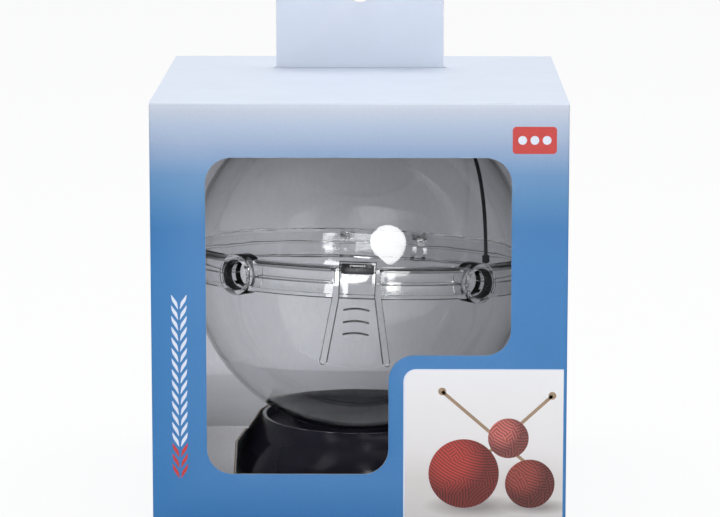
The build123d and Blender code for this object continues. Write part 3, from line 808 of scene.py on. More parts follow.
class CARTON_OT_lid(bpy.types.Operator):
    """Model the lid flaps, the dust flaps and the hang tab with its hole"""

    bl_idname = "yarnbox.lid"
    bl_label = "Lid and hang tab"

    def execute(self, context):
        flap_low, flap_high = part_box("lid_front_flap")
        tab_low, tab_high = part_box("hang_tab")

        def notches():
            made = None
            for x in (tab_low.x - 0.0008, tab_high.x + 0.0008):
                slit = rectangle(x - 0.0008, flap_high.y - 0.0032, x + 0.0008, flap_high.y + 0.001)
                points = [(a, b, flap_low.z - 0.001) for a, b in slit]
                tool = prism("notch", points, (0, 0, 0.003), 0.0007, [0, 1], 4)
                made = combine(made, tool, "UNION") if made else tool
            return made

        def fold_at(y):
            return lambda p, d: abs(d.x) > 0.9 and meet(p.y, y) and p.z > flap_high.z - SAME

        def side_edge(p, d):
            return abs(d.y) > 0.9 and meet(abs(p.x), flap_high.x)

        board_panel("lid_flap_long", "lid_front_flap", "front_flap", "white_board", ("white", 1), ((1, -1),),
                    folds=fold_at(flap_low.y), cuts=side_edge, tool=notches)
        board_panel("lid_flap_short", "lid_rear_flap", "rear_flap", "white_board", ("white", 1), ((1, 1),),
                    folds=fold_at(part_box("lid_rear_flap")[1].y), cuts=side_edge)

        # hang tab: rounded top corners and a round hole
        thick = tab_high.y - tab_low.y
        crease = flap_high.z + 0.00002
        face = upright(rectangle(tab_low.x, crease, tab_high.x, tab_high.z), tab_low.y)
        tab = prism("hang_tab_card", face, (0, thick, 0), TAB_ROUND, [2, 3], 10)
        hole = rod("hang_hole", HANG_HOLE, 0.004, 96)
        place(hole, facing(HANG_HOLE_X, tab_low.y - 0.0015, flap_high.z + HANG_HOLE_RISE))
        combine(tab, hole, "DIFFERENCE")
        round_edges(tab, context.scene.yarn_carton.edge_round)
        finishes = library(context)
        paint(tab, finishes["white"], finishes["pale"], choose=lambda c, n: 0 if abs(n.y) > 0.6 else 1)
        smooth(tab, 50)
        finish_piece(tab, "tab", "white_board", "hang_tab")

        for side, word, body in ((-1, "left", "left_dust"), (1, "right", "right_dust")):
            node = "dust_flap_" + word
            low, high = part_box(node)
            root, tip = (low.x, high.x) if side < 0 else (high.x, low.x)
            bevel = abs(tip - root)
            face = [(root, low.y, low.z), (root, high.y, low.z),
                    (tip, high.y - bevel, low.z), (tip, low.y + bevel, low.z)]
            flap = prism("dust_flap_card_" + word, face, (0, 0, high.z - low.z))
            round_edges(flap, context.scene.yarn_carton.edge_round)
            paint(flap, finishes["white"], finishes["lining"], finishes["kraft"],
                  choose=lambda c, n: 2 if abs(n.z) < 0.6 else (0 if n.z > 0 else 1))
            smooth(flap, 50)
            finish_piece(flap, body, "white_board", node)
        return {"FINISHED"}


# ------------------------------------------------------------------ print on the front
def knit_stitch(name, centre, size, depth):
    """One V of a knitted stitch, two slanted drops, flat on the front."""
    made = None
    for side in (-1, 1):
        x, y, z = centre
        leg = [(x + side * size * 0.04, y, z - size * 0.42), (x + side * size * 0.40, y, z + size * 0.12),
               (x + side * size * 0.46, y, z + size * 0.50), (x + side * size * 0.10, y, z + size * 0.02)]
        if side < 0:
            leg.reverse()
        drop = prism(name, leg, (0, depth, 0), size * 0.09, steps=3)
        made = combine(made, drop, "UNION") if made else drop
    return made


def merge_pieces(name, pieces):
    """Join pieces of one colour into one."""
    deselect()
    for piece in pieces:
        piece.select_set(True)
    bpy.context.view_layer.objects.active = pieces[0]
    bpy.ops.object.join()
    joined = bpy.context.object
    joined.name = name
    return joined


BALLS = (          # name, centre across and up, radius, colour of the wool
    ("red", (0.0505, 0.0255), 0.0170, (0.42, 0.040, 0.028)),
    ("brick", (0.0825, 0.0205), 0.0120, (0.30, 0.050, 0.036)),
    ("rose", (0.0720, 0.0430), 0.0098, (0.52, 0.130, 0.110)),
)
NEEDLES = (        # the knob and the far end of each needle, across and up
    (Vector((0.0400, 0.0660)), Vector((0.0850, 0.0270))),
    (Vector((0.0930, 0.0640)), Vector((0.0560, 0.0300))),
)
PICTURE_LEFT, PICTURE_TOP, PICTURE_FOOT, PICTURE_RIM = 0.0213, 0.0770, 0.0012, 0.0007
STITCH_X, STITCH_FOOT, STITCH_STEP, STITCH_SIZE = -0.0865, 0.026, 0.0052, 0.0084
TAG_X, TAG_Z, TAG_HALF, TAG_TALL, DOT_STEP = 0.0835, 0.188, 0.0105, 0.0065, 0.0058


def picture_paper(name):
    """Pale studio ground of the picture, with a soft shade under each ball that stands on it."""
    f = Finish(name)
    ground = f.ramp(f.span(f.axis("Z"), 0.0, 0.077), [
        (0.00, (0.66, 0.64, 0.63)), (0.30, (0.70, 0.67, 0.66)),
        (0.48, (0.80, 0.78, 0.78)), (1.00, (0.84, 0.84, 0.86)),
    ])
    for _, (x, z), radius, _ in BALLS[:2]:
        away = f.from_point(x + 0.3 * radius, z - 0.95 * radius, 1.5 * radius, 0.36 * radius)
        shade = f.ramp(away, [(0.25, (0.48, 0.46, 0.46)), (1.0, grey(1.0))])
        ground = f.mix(1.0, ground, shade, "MULTIPLY")
    f.colour(ground)
    f.set(Roughness=0.42)
    return f.material


def wool_print(name, colour, centre, radius):
    """Strands wound over a ball in three directions, lit from the upper left."""
    f = Finish(name)
    x, z = centre
    sets = []
    for degrees in (70, 200, 310):
        turn = math.radians(degrees)
        away = (x + 1.9 * radius * math.cos(turn), z + 1.9 * radius * math.sin(turn))
        rings = f.from_point(*away, STRAND, STRAND)
        sets.append(f.span(f.maths("SINE", rings), -1.0, 1.0))
    patch = f.noise(1.1 / radius, 1)
    strands = sets[0]
    for edge, others in ((0.49, sets[1]), (0.57, sets[2])):
        strands = f.mix(f.ramp(patch, [(0.0, grey(0)), (edge, grey(1))], "CONSTANT"), strands, others)
    wool = f.ramp(strands, [(0.05, shaded(colour, 0.42)), (0.55, colour), (1.0, shaded(colour, 1.35))])
    light = f.from_point(x - 0.35 * radius, z + 0.40 * radius, radius, radius)
    shade = f.ramp(light, [(0.0, grey(1.0)), (0.45, grey(0.95)), (1.0, (0.36, 0.34, 0.34))])
    f.colour(f.mix(1.0, wool, shade, "MULTIPLY"))
    f.set(Roughness=0.45)
    return f.material


class CARTON_OT_print(bpy.types.Operator):
    """Lay the printed motifs on the front: a picture of wool, a column of stitches and a dotted tag"""

    bl_idname = "yarnbox.print"
    bl_label = "Front print"

    def execute(self, context):
        finishes = library(context)
        low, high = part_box("carton_front_panel")
        skin = low.y + PRINT_DEPTH

        def flat(name, points, layer, corner=0.0, rounded=None, steps=8):
            return prism(name, upright(points, skin - INK * layer), (0, INK, 0), corner, rounded, steps)

        def disc(name, x, z, radius, layer):
            made = rod(name, radius, INK, 96)
            return place(made, facing(x, skin - INK * layer, z))

        def printed(piece, finish):
            paint(piece, finish)
            finish_piece(piece, "carton", "printed_board_blue")

        # picture panel with a pale rim, open to the right and at the foot
        right = high.x - 0.0016
        rim = rectangle(PICTURE_LEFT, PICTURE_FOOT, right, PICTURE_TOP)
        printed(flat("picture_rim", rim, 1, 0.0062, [3]), finishes["white"])
        inner = rectangle(PICTURE_LEFT + PICTURE_RIM, PICTURE_FOOT, right, PICTURE_TOP - PICTURE_RIM)
        printed(flat("picture_panel", inner, 2, 0.0055, [3]), picture_paper("picture_ground"))

        # needles behind the balls, with a knob on each
        needles = []
        for knob, end in NEEDLES:
            along = (end - knob).normalized()
            side = Vector((-along.y, along.x)) * 0.0008
            needles.append(flat("needle", [knob - side, knob + side, end + side, end - side], 3))
            needles.append(disc("needle_knob", *knob, 0.0019, 3))
        printed(merge_pieces("picture_needles", needles), ink("picture_wood", (0.34, 0.23, 0.14), 0.45))

        for word, (x, z), radius, colour in BALLS:
            wool = wool_print("wool_" + word, colour, (x, z), radius)
            printed(disc("picture_ball_" + word, x, z, radius, 3.02), wool)

        # a column of stitches in the left margin
        for word, rows in (("white", range(3, 17)), ("red", range(0, 3))):
            spots = [(STITCH_X, skin - INK, STITCH_FOOT + STITCH_STEP * row) for row in rows]
            stitches = [knit_stitch("stitch", spot, STITCH_SIZE, INK) for spot in spots]
            printed(merge_pieces("stitch_column_" + word, stitches), finishes[word])

        # a small tag with three dots
        tag = rectangle(TAG_X - TAG_HALF, TAG_Z - TAG_TALL, TAG_X + TAG_HALF, TAG_Z + TAG_TALL)
        printed(flat("dotted_tag", tag, 1, 0.0018, steps=5), finishes["red"])
        dots = [disc("tag_dot", TAG_X + DOT_STEP * i, TAG_Z, 0.0021, 2) for i in (-1, 0, 1)]
        printed(merge_pieces("tag_dots", dots), finishes["white"])
        return {"FINISHED"}


# ------------------------------------------------------------------ tray
class TRAY_OT_tray(bpy.types.Operator):
    """Model the folded tray with the hole and mouth for the foot"""

    bl_idname = "yarnbox.tray"
    bl_label = "Folded tray"

    def execute(self, context):
        low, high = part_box("tray_platform")
        lip = TRAY_HOLE + (TRAY_MOUTH - TRAY_HOLE) / (0.001 - low.y) * (0 - low.y)
        flat = [(low.x, low.y), (low.x, high.y), (high.x, high.y), (high.x, low.y), (MIDDLE_X + lip, low.y)]
        flat += arc(TRAY_HOLE, 0, 180, 45, (MIDDLE_X, 0.0)) + [(MIDDLE_X - lip, low.y)]
        platform = prism("tray_platform_card", [(x, y, low.z) for x, y in flat], (0, 0, high.z - low.z))

        def outer_edge(p):
            return p.y < low.y + FOLD_REACH or p.y > high.y - FOLD_REACH or abs(p.x) > high.x - FOLD_REACH

        round_fold(platform, lambda p, d: p.z > high.z - SAME and outer_edge(p),
                   context.scene.yarn_carton.fold_round)
        self.dress(platform, 2, "tray_platform", "kraft", outer_edge)
        for side, word in ((-1, "left"), (1, "right")):
            node = "tray_skirt_" + word
            a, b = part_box(node)
            far = a.x if side < 0 else b.x
            top, knee, foot = (MIDDLE_X + side * half for half in (SKIRT_TOP, SKIRT_KNEE, SKIRT_FOOT))
            face = [(far, a.z), (far, b.z), (top, b.z), (knee, high.z - KNEE_DROP), (foot, a.z)]
            skirt = prism(node + "_card", upright(face, a.y), (0, b.y - a.y, 0))
            open_mesh(skirt)
            pick(skirt, "verts", lambda p: p.y < a.y + SAME and abs(p.x - MIDDLE_X) < SKIRT_FOOT + 0.0015)
            bpy.ops.transform.translate(value=(side * KNIFE_SLANT, 0, 0))
            close_mesh()
            self.dress(skirt, 1, node, "skirt_edge", lambda p: abs(p.x) > high.x - FOLD_REACH)
        for word, thin in (("left", 0), ("right", 0), ("rear", 1)):
            node = f"tray_{word}_leg"
            leg = block(node + "_card", *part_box(node))
            self.dress(leg, thin, node, "kraft", lambda p: p.z > low.z - FOLD_REACH)
        return {"FINISHED"}

    def dress(self, piece, thin, node, edge, folded):
        """Line both faces and the folds, and leave the core bare along the cut edges."""
        finishes = library(bpy.context)
        paint(piece, finishes["lining"], finishes[edge],
              choose=lambda c, n: 0 if abs(n[thin]) > 0.9 or folded(c) else 1)
        smooth(piece, 50)
        finish_piece(piece, "dispenser", "grey_board", node)


# ------------------------------------------------------------------ foot
FOOT_SKIRT = [       # radius and height down the outside of the foot, to just above the table
    (0.0495, 0.0331), (0.0521, 0.0293), (0.0556, 0.0255), (0.0583, 0.0219), (0.0605, 0.0182),
    (0.0620, 0.0142), (0.0631, 0.0097), (0.0634, 0.0075),
]
PIT_Z, SEAT_INSIDE, SEAT_PLAY = 0.0245, 0.030, 0.0003
DISH_EDGE = 0.0479       # all that lies inside the rim


def flowing(points, steps):
    """A smooth line through points, with the given steps between neighbours."""
    line = []
    for i in range(len(points) - 1):
        before, after = points[max(i - 1, 0)], points[min(i + 2, len(points) - 1)]
        for k in range(1, steps + 1):
            t = k / steps
            line.append(tuple(
                0.5 * (2 * a + (b - o) * t + (2 * o - 5 * a + 4 * b - e) * t ** 2
                       + (3 * a - o - 3 * b + e) * t ** 3)
                for o, a, b, e in zip(before, points[i], points[i + 1], after)))
    return line


class FOOT_OT_foot(bpy.types.Operator):
    """Model the glossy foot with its dish, and the rubber ring under it"""

    bl_idname = "yarnbox.foot"
    bl_label = "Foot"

    def execute(self, context):
        finishes = library(context)
        low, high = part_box("base_cup")
        rim, centre, foot = high.z, (low.x + high.x) / 2, (high.x - low.x) / 2
        ball = context.scene.yarn_globe.radius

        def seat(r):
            return GLOBE_Z - math.sqrt((ball + SEAT_PLAY) ** 2 - r ** 2)

        # from the middle of the pit over the raised seat, the dish, the rim and down the outside
        points = [(0.0, PIT_Z - 0.0025), (0.0, PIT_Z), (0.0292, PIT_Z), (0.0299, 0.0250)]
        points += [(SEAT_INSIDE, 0.0255), (SEAT_INSIDE, seat(SEAT_INSIDE) - 0.0003), (0.0303, seat(0.0303))]
        points += [(SEAT_INSIDE + 0.0007 * i, seat(SEAT_INSIDE + 0.0007 * i)) for i in range(1, 5)]
        points += arc(0.0006, 60, 0, 3, (0.0334, seat(0.0334) - 0.0006))
        points += arc(0.0012, 180, 270, 4, (0.0352, 0.0304)) + arc(0.0012, 270, 360, 4, (0.0464, 0.0304))
        points += [(0.0476, rim - 0.0004), (0.0478, rim - 0.0001), (0.0481, rim), (0.0491, rim),
                   (0.0494, rim - 0.0001), (0.0495, rim - 0.0004)]
        points += flowing(FOOT_SKIRT + [(foot, low.z + 0.0004)], 4)[2:]
        points += [(foot - 0.0004, low.z), (foot - 0.008, low.z), (foot - 0.008, low.z + 0.0025),
                   (foot - 0.0025, low.z + 0.0025), (foot - 0.006, rim - 0.0165), (0.049, 0.0267),
                   (0.0325, 0.0267), (0.0325, PIT_Z - 0.0025)]
        cup = turned("foot_cup", points, 200)
        arch = upright(rectangle(0.0, -0.0022, 0.018, 0.0118), -0.070)
        combine(cup, prism("foot_arch", arch, (0, 0.020, 0), 0.0069), "DIFFERENCE")
        paint(cup, finishes["dark"], finishes["grained"],
              choose=lambda c, n: 1 if math.hypot(c.x, c.y) < DISH_EDGE and c.z > PIT_Z - 0.0005 else 0)
        place(cup, Matrix.Translation((centre, 0, 0)))
        smooth(cup, 35)
        finish_piece(cup, "dispenser", "dark_plastic", "base_cup")

        a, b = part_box("base_foot_ring")
        outer = foot - 0.001
        ring_points = arc(0.0005, 0, -90, 3, (outer - 0.0005, a.z + 0.0005))
        ring_points += arc(0.0005, -90, -180, 3, (outer - 0.0055, a.z + 0.0005))
        ring_points += [(outer - 0.006, b.z), (outer, b.z)]
        ring = turned("foot_rubber_ring", ring_points, 160)
        gap = block("ring_gap", (0.0, -0.072, a.z - 0.002), (0.018, -0.045, b.z + 0.002))
        combine(ring, gap, "DIFFERENCE")
        place(ring, Matrix.Translation((centre, 0, 0)))
        paint(ring, finishes["rubber"])
        smooth(ring, 35)
        finish_piece(ring, "dispenser", "black_rubber", "base_foot_ring")
        return {"FINISHED"}


# ------------------------------------------------------------------ globe
STAND = (
    Matrix.Translation((MIDDLE_X, 0, GLOBE_Z))
    @ Matrix.Rotation(math.radians(LEAN_BACK), 4, "X")
    @ Matrix.Rotation(math.radians(LEAN_RIGHT), 4, "Y")
)


def set_in_place(piece, angle, body, slot, *nodes):
    """Stand a piece, modelled in the globe's own frame, in its place on the foot."""
    place(piece, STAND)
    smooth(piece, angle)
    finish_piece(piece, body, slot, *nodes)


def half_profile(up, globe):
    """Section of the dome (up 1) or bowl (up -1) with its hollow flange."""
    outer, inner = globe.radius, globe.radius - globe.wall
    high, web, part = FLANGE_HEIGHT, FLANGE_WEB, HALF_GAP
    flange, lip = globe.flange, globe.wall
    ease = 0.0006

    points = [(0.0, outer)] + arc(outer, 88, level(outer, high + ease), 44)
    points += [(math.sqrt(outer ** 2 - high ** 2) + ease, high)]
    points += [(flange - ease, high), (flange - ease * 0.3, high - ease * 0.3), (flange, high - ease)]
    points += [(flange, part + 0.0002), (flange - 0.0002, part), (flange - lip, part), (flange - lip, web)]
    points += [(math.sqrt(outer ** 2 - web ** 2), web), (math.sqrt(outer ** 2 - part ** 2), part)]
    points += arc(inner, level(inner, part), 88, 46) + [(0.0, inner)]
    return [(x, up * z) for x, z in points]


def eyelet_frame(side, distance):
    """Matrix that puts a piece's +Z along the eyelet's axis, at a distance from the centre."""
    turn = EYELET_TURN * side
    out = Vector((math.sin(turn), -math.cos(turn), 0))
    right = Vector((math.cos(turn), math.sin(turn), 0))
    up = Vector((0, 0, 1))
    turned_to = Matrix((right, up, out)).transposed().to_4x4()
    return Matrix.Translation(out * distance) @ turned_to


def hinge_rod(name, radius, start, length):
    """A cylinder along the hinge axis."""
    made = rod(name, radius, length, 48)
    place(made, Matrix.Translation((start, HINGE_Y, HINGE_Z)) @ Matrix.Rotation(math.radians(90), 4, "Y"))
    return made


def collar(side, up):
    """Half of the round boss that carries an eyelet."""
    ring = rod("eyelet_collar", COLLAR_RADIUS, COLLAR_LENGTH, 96)
    place(ring, eyelet_frame(side, COLLAR_START))
    round_fold(ring, lambda p, d: p.length > COLLAR_START + COLLAR_LENGTH - 0.0005, 0.0006, 3)
    low, top = (HALF_GAP, 0.1) if up > 0 else (-0.1, -HALF_GAP)
    return combine(ring, block("collar_half", (-0.2, -0.2, low), (0.2, 0.2, top)), "INTERSECT")


def bore_eyelets(piece, gap):
    """Round holes, wider outside where the rubber sleeve sits."""
    for side in (-1, 1):
        for radius, start in ((EYELET_BORE, 0.076), (SLEEVE_BORE + gap, SLEEVE_SEAT - gap)):
            tool = rod("eyelet_bore", radius, 0.024, 96)
            place(tool, eyelet_frame(side, start))
            combine(piece, tool, "DIFFERENCE")


class GLOBE_OT_dome(bpy.types.Operator):
    """Model the clear dome with its flange, eyelet collars and middle hinge knuckles"""

    bl_idname = "yarnbox.dome"
    bl_label = "Dome"

    def execute(self, context):
        finishes = library(context)
        dome = turned("dome", half_profile(1, context.scene.yarn_globe), 192)
        for side in (-1, 1):
            combine(dome, collar(side, 1), "UNION")
        bore_eyelets(dome, 0.0)
        far, half, wall = POCKET_Y, POCKET_HALF, 0.002
        for low, high in (
            ((-half - wall, far, HALF_GAP), (half + wall, far + wall, FLANGE_HEIGHT)),
            ((half, far - 0.0015, HALF_GAP), (half + wall, far + 0.001, FLANGE_HEIGHT - 0.0003)),
            ((-half - wall, far - 0.0015, HALF_GAP), (-half, far + 0.001, FLANGE_HEIGHT - 0.0003)),
        ):
            combine(dome, block("pocket_wall", low, high), "UNION")
        pocket = block("pocket", (-half, far - 0.010, -0.001), (half, far, FLANGE_HEIGHT + 0.001))
        combine(dome, pocket, "DIFFERENCE")
        corner = math.sqrt(context.scene.yarn_globe.flange ** 2 - half ** 2)

        def pocket_corner(p, d):
            return abs(d.z) > 0.9 and abs(abs(p.x) - half) < 1e-4 and abs(p.y + corner) < 3e-4

        round_fold(dome, pocket_corner, EDGE_ROUND, 3)
        for post in HINGE_STARTS:
            for start in (post, post + HINGE_LENGTH - KNUCKLE):
                relief = block("flange_relief", (start - KNUCKLE_GAP, HINGE_Y - BARREL - KNUCKLE_GAP, -0.001),
                               (start + KNUCKLE + KNUCKLE_GAP, 0.099, FLANGE_HEIGHT + 0.001))
                combine(dome, relief, "DIFFERENCE")
            start, length = post + KNUCKLE + KNUCKLE_GAP, HINGE_LENGTH - 2 * (KNUCKLE + KNUCKLE_GAP)
            knuckle = block("dome_knuckle", (start, KNUCKLE_ROOT, KNUCKLE_GAP),
                            (start + length, HINGE_Y, HINGE_Z + BARREL))
            combine(knuckle, hinge_rod("dome_barrel", BARREL, start, length), "UNION")
            combine(dome, knuckle, "UNION")
            bore = hinge_rod("pin_bore", PIN + 0.00006, post - 0.001, HINGE_LENGTH + 0.002)
            combine(dome, bore, "DIFFERENCE")
        # painted shade on the flange's broken corners and the recess edges
        paint(dome, finishes["clear"], finishes["end_on"], choose=flange_corner)
        set_in_place(dome, 30, "globe_upper", "clear_plastic", "globe_dome")
        return {"FINISHED"}


def flange_corner(centre, normal):
    """The broken corners of the flange's rim and of the latch's recess, which get the painted edge shade that
    draws them as thin dark lines.
    """
    turn = math.degrees(math.atan2(abs(centre.x), -centre.y))
    plain_rim = turn < 31 or 47 < turn < 150
    rim = plain_rim and math.hypot(centre.x, centre.y) > 0.0933
    recess = centre.y < -0.0920 and abs(normal.x) > 0.25 and abs(centre.x) < 0.0125
    return 1 if recess or (rim and 0.1 < abs(normal.z) < 0.95) else 0


class GLOBE_OT_bowl(bpy.types.Operator):
    """Model the clear bowl with its flange, collars, outer hinge knuckles and the gap for the latch"""

    bl_idname = "yarnbox.bowl"
    bl_label = "Bowl"

    def execute(self, context):
        finishes = library(context)
        bowl = turned("bowl", half_profile(-1, context.scene.yarn_globe), 192)
        for side in (-1, 1):
            combine(bowl, collar(side, -1), "UNION")
        bore_eyelets(bowl, 0.0003)
        for post in HINGE_STARTS:
            for start in (post, post + HINGE_LENGTH - KNUCKLE):
                top, inner, outer = -HALF_GAP - KNUCKLE_GAP, HINGE_Y - BARREL + 0.0007, HINGE_Y + BARREL
                face = [(KNUCKLE_ROOT, top), (KNUCKLE_ROOT, -FLANGE_HEIGHT), (HINGE_Y, -FLANGE_HEIGHT),
                        (outer, -0.0048), (outer, HINGE_Z), (inner, HINGE_Z), (inner, top)]
                knuckle = prism("bowl_knuckle", [(start, y, z) for y, z in face], (KNUCKLE, 0, 0))
                combine(knuckle, hinge_rod("bowl_barrel", BARREL, start, KNUCKLE), "UNION")
                combine(bowl, knuckle, "UNION")
            combine(bowl, hinge_rod("pin_bore", PIN, post - 0.001, HINGE_LENGTH + 0.002), "DIFFERENCE")
        # gap for the tongue, with the round end of a slit at each side of its foot
        ends = [arc(SLIT_ROUND, 0, -180, 16, (side * (GAP_FOOT - SLIT_ROUND), GAP_END)) for side in (1, -1)]
        face = [(-GAP_TOP, 0.001), (GAP_TOP, 0.001), (GAP_TOP, -FLANGE_HEIGHT)]
        face += ends[0] + ends[1] + [(-GAP_TOP, -FLANGE_HEIGHT)]
        combine(bowl, prism("tongue_gap", upright(face, -0.110), (0, 0.050, 0)), "DIFFERENCE")
        round_fold(bowl, self.slit_edge, EDGE_ROUND, 3)
        paint(bowl, finishes["clear"], finishes["end_on"], finishes["joined"], choose=self.dress)
        set_in_place(bowl, 30, "globe_lower", "clear_plastic", "globe_bowl")
        return {"FINISHED"}

    def slit_edge(self, p, d):
        """The edges of the slits on the outer face of the bowl."""
        if p.y > -0.070 or abs(p.x) > 0.020 or p.z < GAP_END + 0.0003:
            return False
        if p.z > -FLANGE_HEIGHT or abs(p.length - bpy.context.scene.yarn_globe.radius) > 2e-4:
            return False
        slit_x = GAP_TOP - (p.z + FLANGE_HEIGHT) * TONGUE_SPREAD / GAP_LENGTH
        return abs(d.x) < 0.6 and abs(abs(p.x) - slit_x) < 1.5e-4

    def dress(self, centre, normal):
        """In the globe's own frame: the face that the tongue grows out of, and the walls of the slits, which
        get the painted edge shade.
        """
        if normal.z > 0.9 and meet(centre.z, GAP_END) and centre.y < -0.070:
            return 2
        slit = abs(centre.x) < 0.020 and centre.y < -0.070 and -0.044 < centre.z < 0.001
        wall = abs(normal.dot(centre.normalized())) < 0.95 and centre.length < 0.0945 and abs(normal.z) < 0.8
        return 1 if slit and wall else flange_corner(centre, normal)


class GLOBE_OT_latch(bpy.types.Operator):
    """Model the latch tongue with its slotted head and grip ridges"""

    bl_idname = "yarnbox.latch"
    bl_label = "Latch"

    def execute(self, context):
        finishes = library(context)
        globe = context.scene.yarn_globe
        outer, inner = globe.radius, globe.radius - globe.wall
        low, web, foot, top = -FLANGE_HEIGHT, -FLANGE_WEB, -0.04129, 0.0109
        near, far = 0.0925, 0.0944

        points = arc(outer, level(outer, foot), level(outer, low - 0.0006), 24)
        points += [(math.sqrt(outer ** 2 - low ** 2) + 0.0006, low), (far - 0.0008, low)]
        points += [(far - 0.0002, low + 0.0002), (far, low + 0.0008), (far, top - 0.0005)]
        points += [(far - 0.0002, top - 0.0001), (far - 0.0005, top), (near + 0.0003, top)]
        points += [(near, top - 0.0003), (near, web)]
        points += arc(inner, level(inner, web), level(inner, foot), 24)
        latch = turned("latch", points, 192)
        face = [(-0.009, top + 0.001), (0.009, top + 0.001), (TONGUE_TOP, low), (TONGUE_FOOT, foot - 0.001),
                (-TONGUE_FOOT, foot - 0.001), (-TONGUE_TOP, low)]
        combine(latch, prism("tongue_shape", upright(face, -0.110), (0, 0.050, 0)), "INTERSECT")
        slot_face = upright(rectangle(-0.0068, 0.0041, 0.0068, 0.0081), -0.110)
        slot = prism("latch_slot", slot_face, (0, 0.050, 0), 0.0005, steps=3)
        combine(latch, slot, "DIFFERENCE")

        def side_edge(p, d):
            across = TONGUE_TOP + max(0.0, (low - p.z) / (low - foot + 0.001)) * TONGUE_SPREAD
            if p.z < foot + 0.0004 or abs(d.x) > 0.6 or abs(abs(p.x) - across) > 2e-4:
                return False
            return abs(p.length - outer) < 2e-4 if p.z < low - 0.001 else math.hypot(p.x, p.y) > far - 2e-4

        round_fold(latch, side_edge, EDGE_ROUND, 3)
        for height in GRIPS:
            combine(latch, self.ridge(outer, height), "UNION")

        # the grip ridges and the side faces get the painted edge shade, drawn as dark lines
        def dress(centre, normal):
            if normal.z < -0.9 and meet(centre.z, foot):
                return 2
            ridge = centre.z < low - 0.002 and centre.length > outer + 0.00015
            side = abs(normal.x) > 0.22 or (centre.z > low and abs(normal.z) > 0.3)
            return 1 if ridge or side else 0

        paint(latch, finishes["clear"], finishes["end_on"], finishes["joined"], choose=dress)
        set_in_place(latch, 30, "latch", "clear_plastic", "latch_tongue")

        # a dark pad on the dome's flange fills the slot from behind: painted shade, a black piece where the
        # slot only shows dark
        pad = block("latch_pad", (-0.0078, -0.0924, 0.0046), (0.0078, POCKET_Y, 0.0096))
        round_edges(pad, 0.0004, 3)
        paint(pad, finishes["rubber"])
        set_in_place(pad, 40, "globe_upper", "black_rubber")
        return {"FINISHED"}

    def ridge(self, ball, height):
        """An arched rib on the face of the tongue, round in section."""
        sag, half, thick = 0.00105, 0.0065, 0.00055
        points = []
        for i in range(-8, 9):
            x = half * i / 8
            z = height - sag * (i / 8) ** 2
            points.append((x, -math.sqrt(ball ** 2 - x ** 2 - z ** 2), z))
        rib = chain("grip_rib", points)
        rib.modifiers.new("skin", "SKIN")
        for vertex in rib.data.skin_vertices[0].data:
            vertex.radius = (thick, thick)
        rounder = rib.modifiers.new("round", "SUBSURF")
        rounder.levels = rounder.render_levels = 2
        return apply_all(rib)


class GLOBE_OT_fittings(bpy.types.Operator):
    """Model the rubber eyelets and the hinge pins"""

    bl_idname = "yarnbox.fittings"
    bl_label = "Eyelets and pins"

    def execute(self, context):
        finishes = library(context)
        inside, outside, root, end = EYELET_BORE, 0.00744, 0.0897, 0.0952

        middle, half = (inside + outside) / 2, (outside - inside) / 2
        section = arc(half, 180, 360, 8, (middle, root + half)) + arc(half, 0, 180, 8, (middle, end - half))
        for side, word in ((-1, "left"), (1, "right")):
            eyelet = turned("eyelet_" + word, section, 128)
            near, far = sorted((side * -0.001, side * -0.009))
            open_side = block("eyelet_open_side", (near, -0.009, 0.088), (far, 0.009, 0.097))
            combine(eyelet, open_side, "DIFFERENCE")
            place(eyelet, eyelet_frame(side, 0.0))
            paint(eyelet, finishes["rubber"])
            set_in_place(eyelet, 40, "globe_upper", "black_rubber", "grommet_" + word)
        for start, word in zip(HINGE_STARTS, ("left", "right")):
            pin = hinge_rod("pin_" + word, PIN, start, HINGE_LENGTH)
            round_edges(pin, 0.0003, 3, 50)
            paint(pin, finishes["steel"])
            set_in_place(pin, 40, "globe_lower", "pin_steel", "hinge_pin_" + word)
        return {"FINISHED"}


# ------------------------------------------------------------------ cord
CORD_ROUTE = [       # from the right eyelet up over the dome and round a wrist loop, in the globe's frame
    (61.9, -71.4, 13.2),
    (61.4, -67.6, 26.0),
    (59.8, -56.6, 41.5),
    (56.9, -41.5, 55.6),
    (51.5, -26.0, 68.0),
    (41.5, -13.5, 77.4),
    (28.0, -4.0, 84.6),
    (14.0, 3.5, 87.8),
    (-1.0, 7.0, 88.2),
    (-16.0, 5.5, 86.7),
    (-28.5, -2.0, 83.5),
    (-35.0, -14.5, 79.8),
    (-32.5, -28.0, 77.2),
    (-21.5, -36.0, 77.7),
    (-7.0, -37.0, 79.9),
    (7.0, -32.0, 82.0),
    (17.0, -22.0, 83.8),
    (21.5, -9.5, 85.4),
    (21.1, -2.4, 86.1),
]
STEM_POINT = 6       # the end knot holds the stem halfway between this point and the next


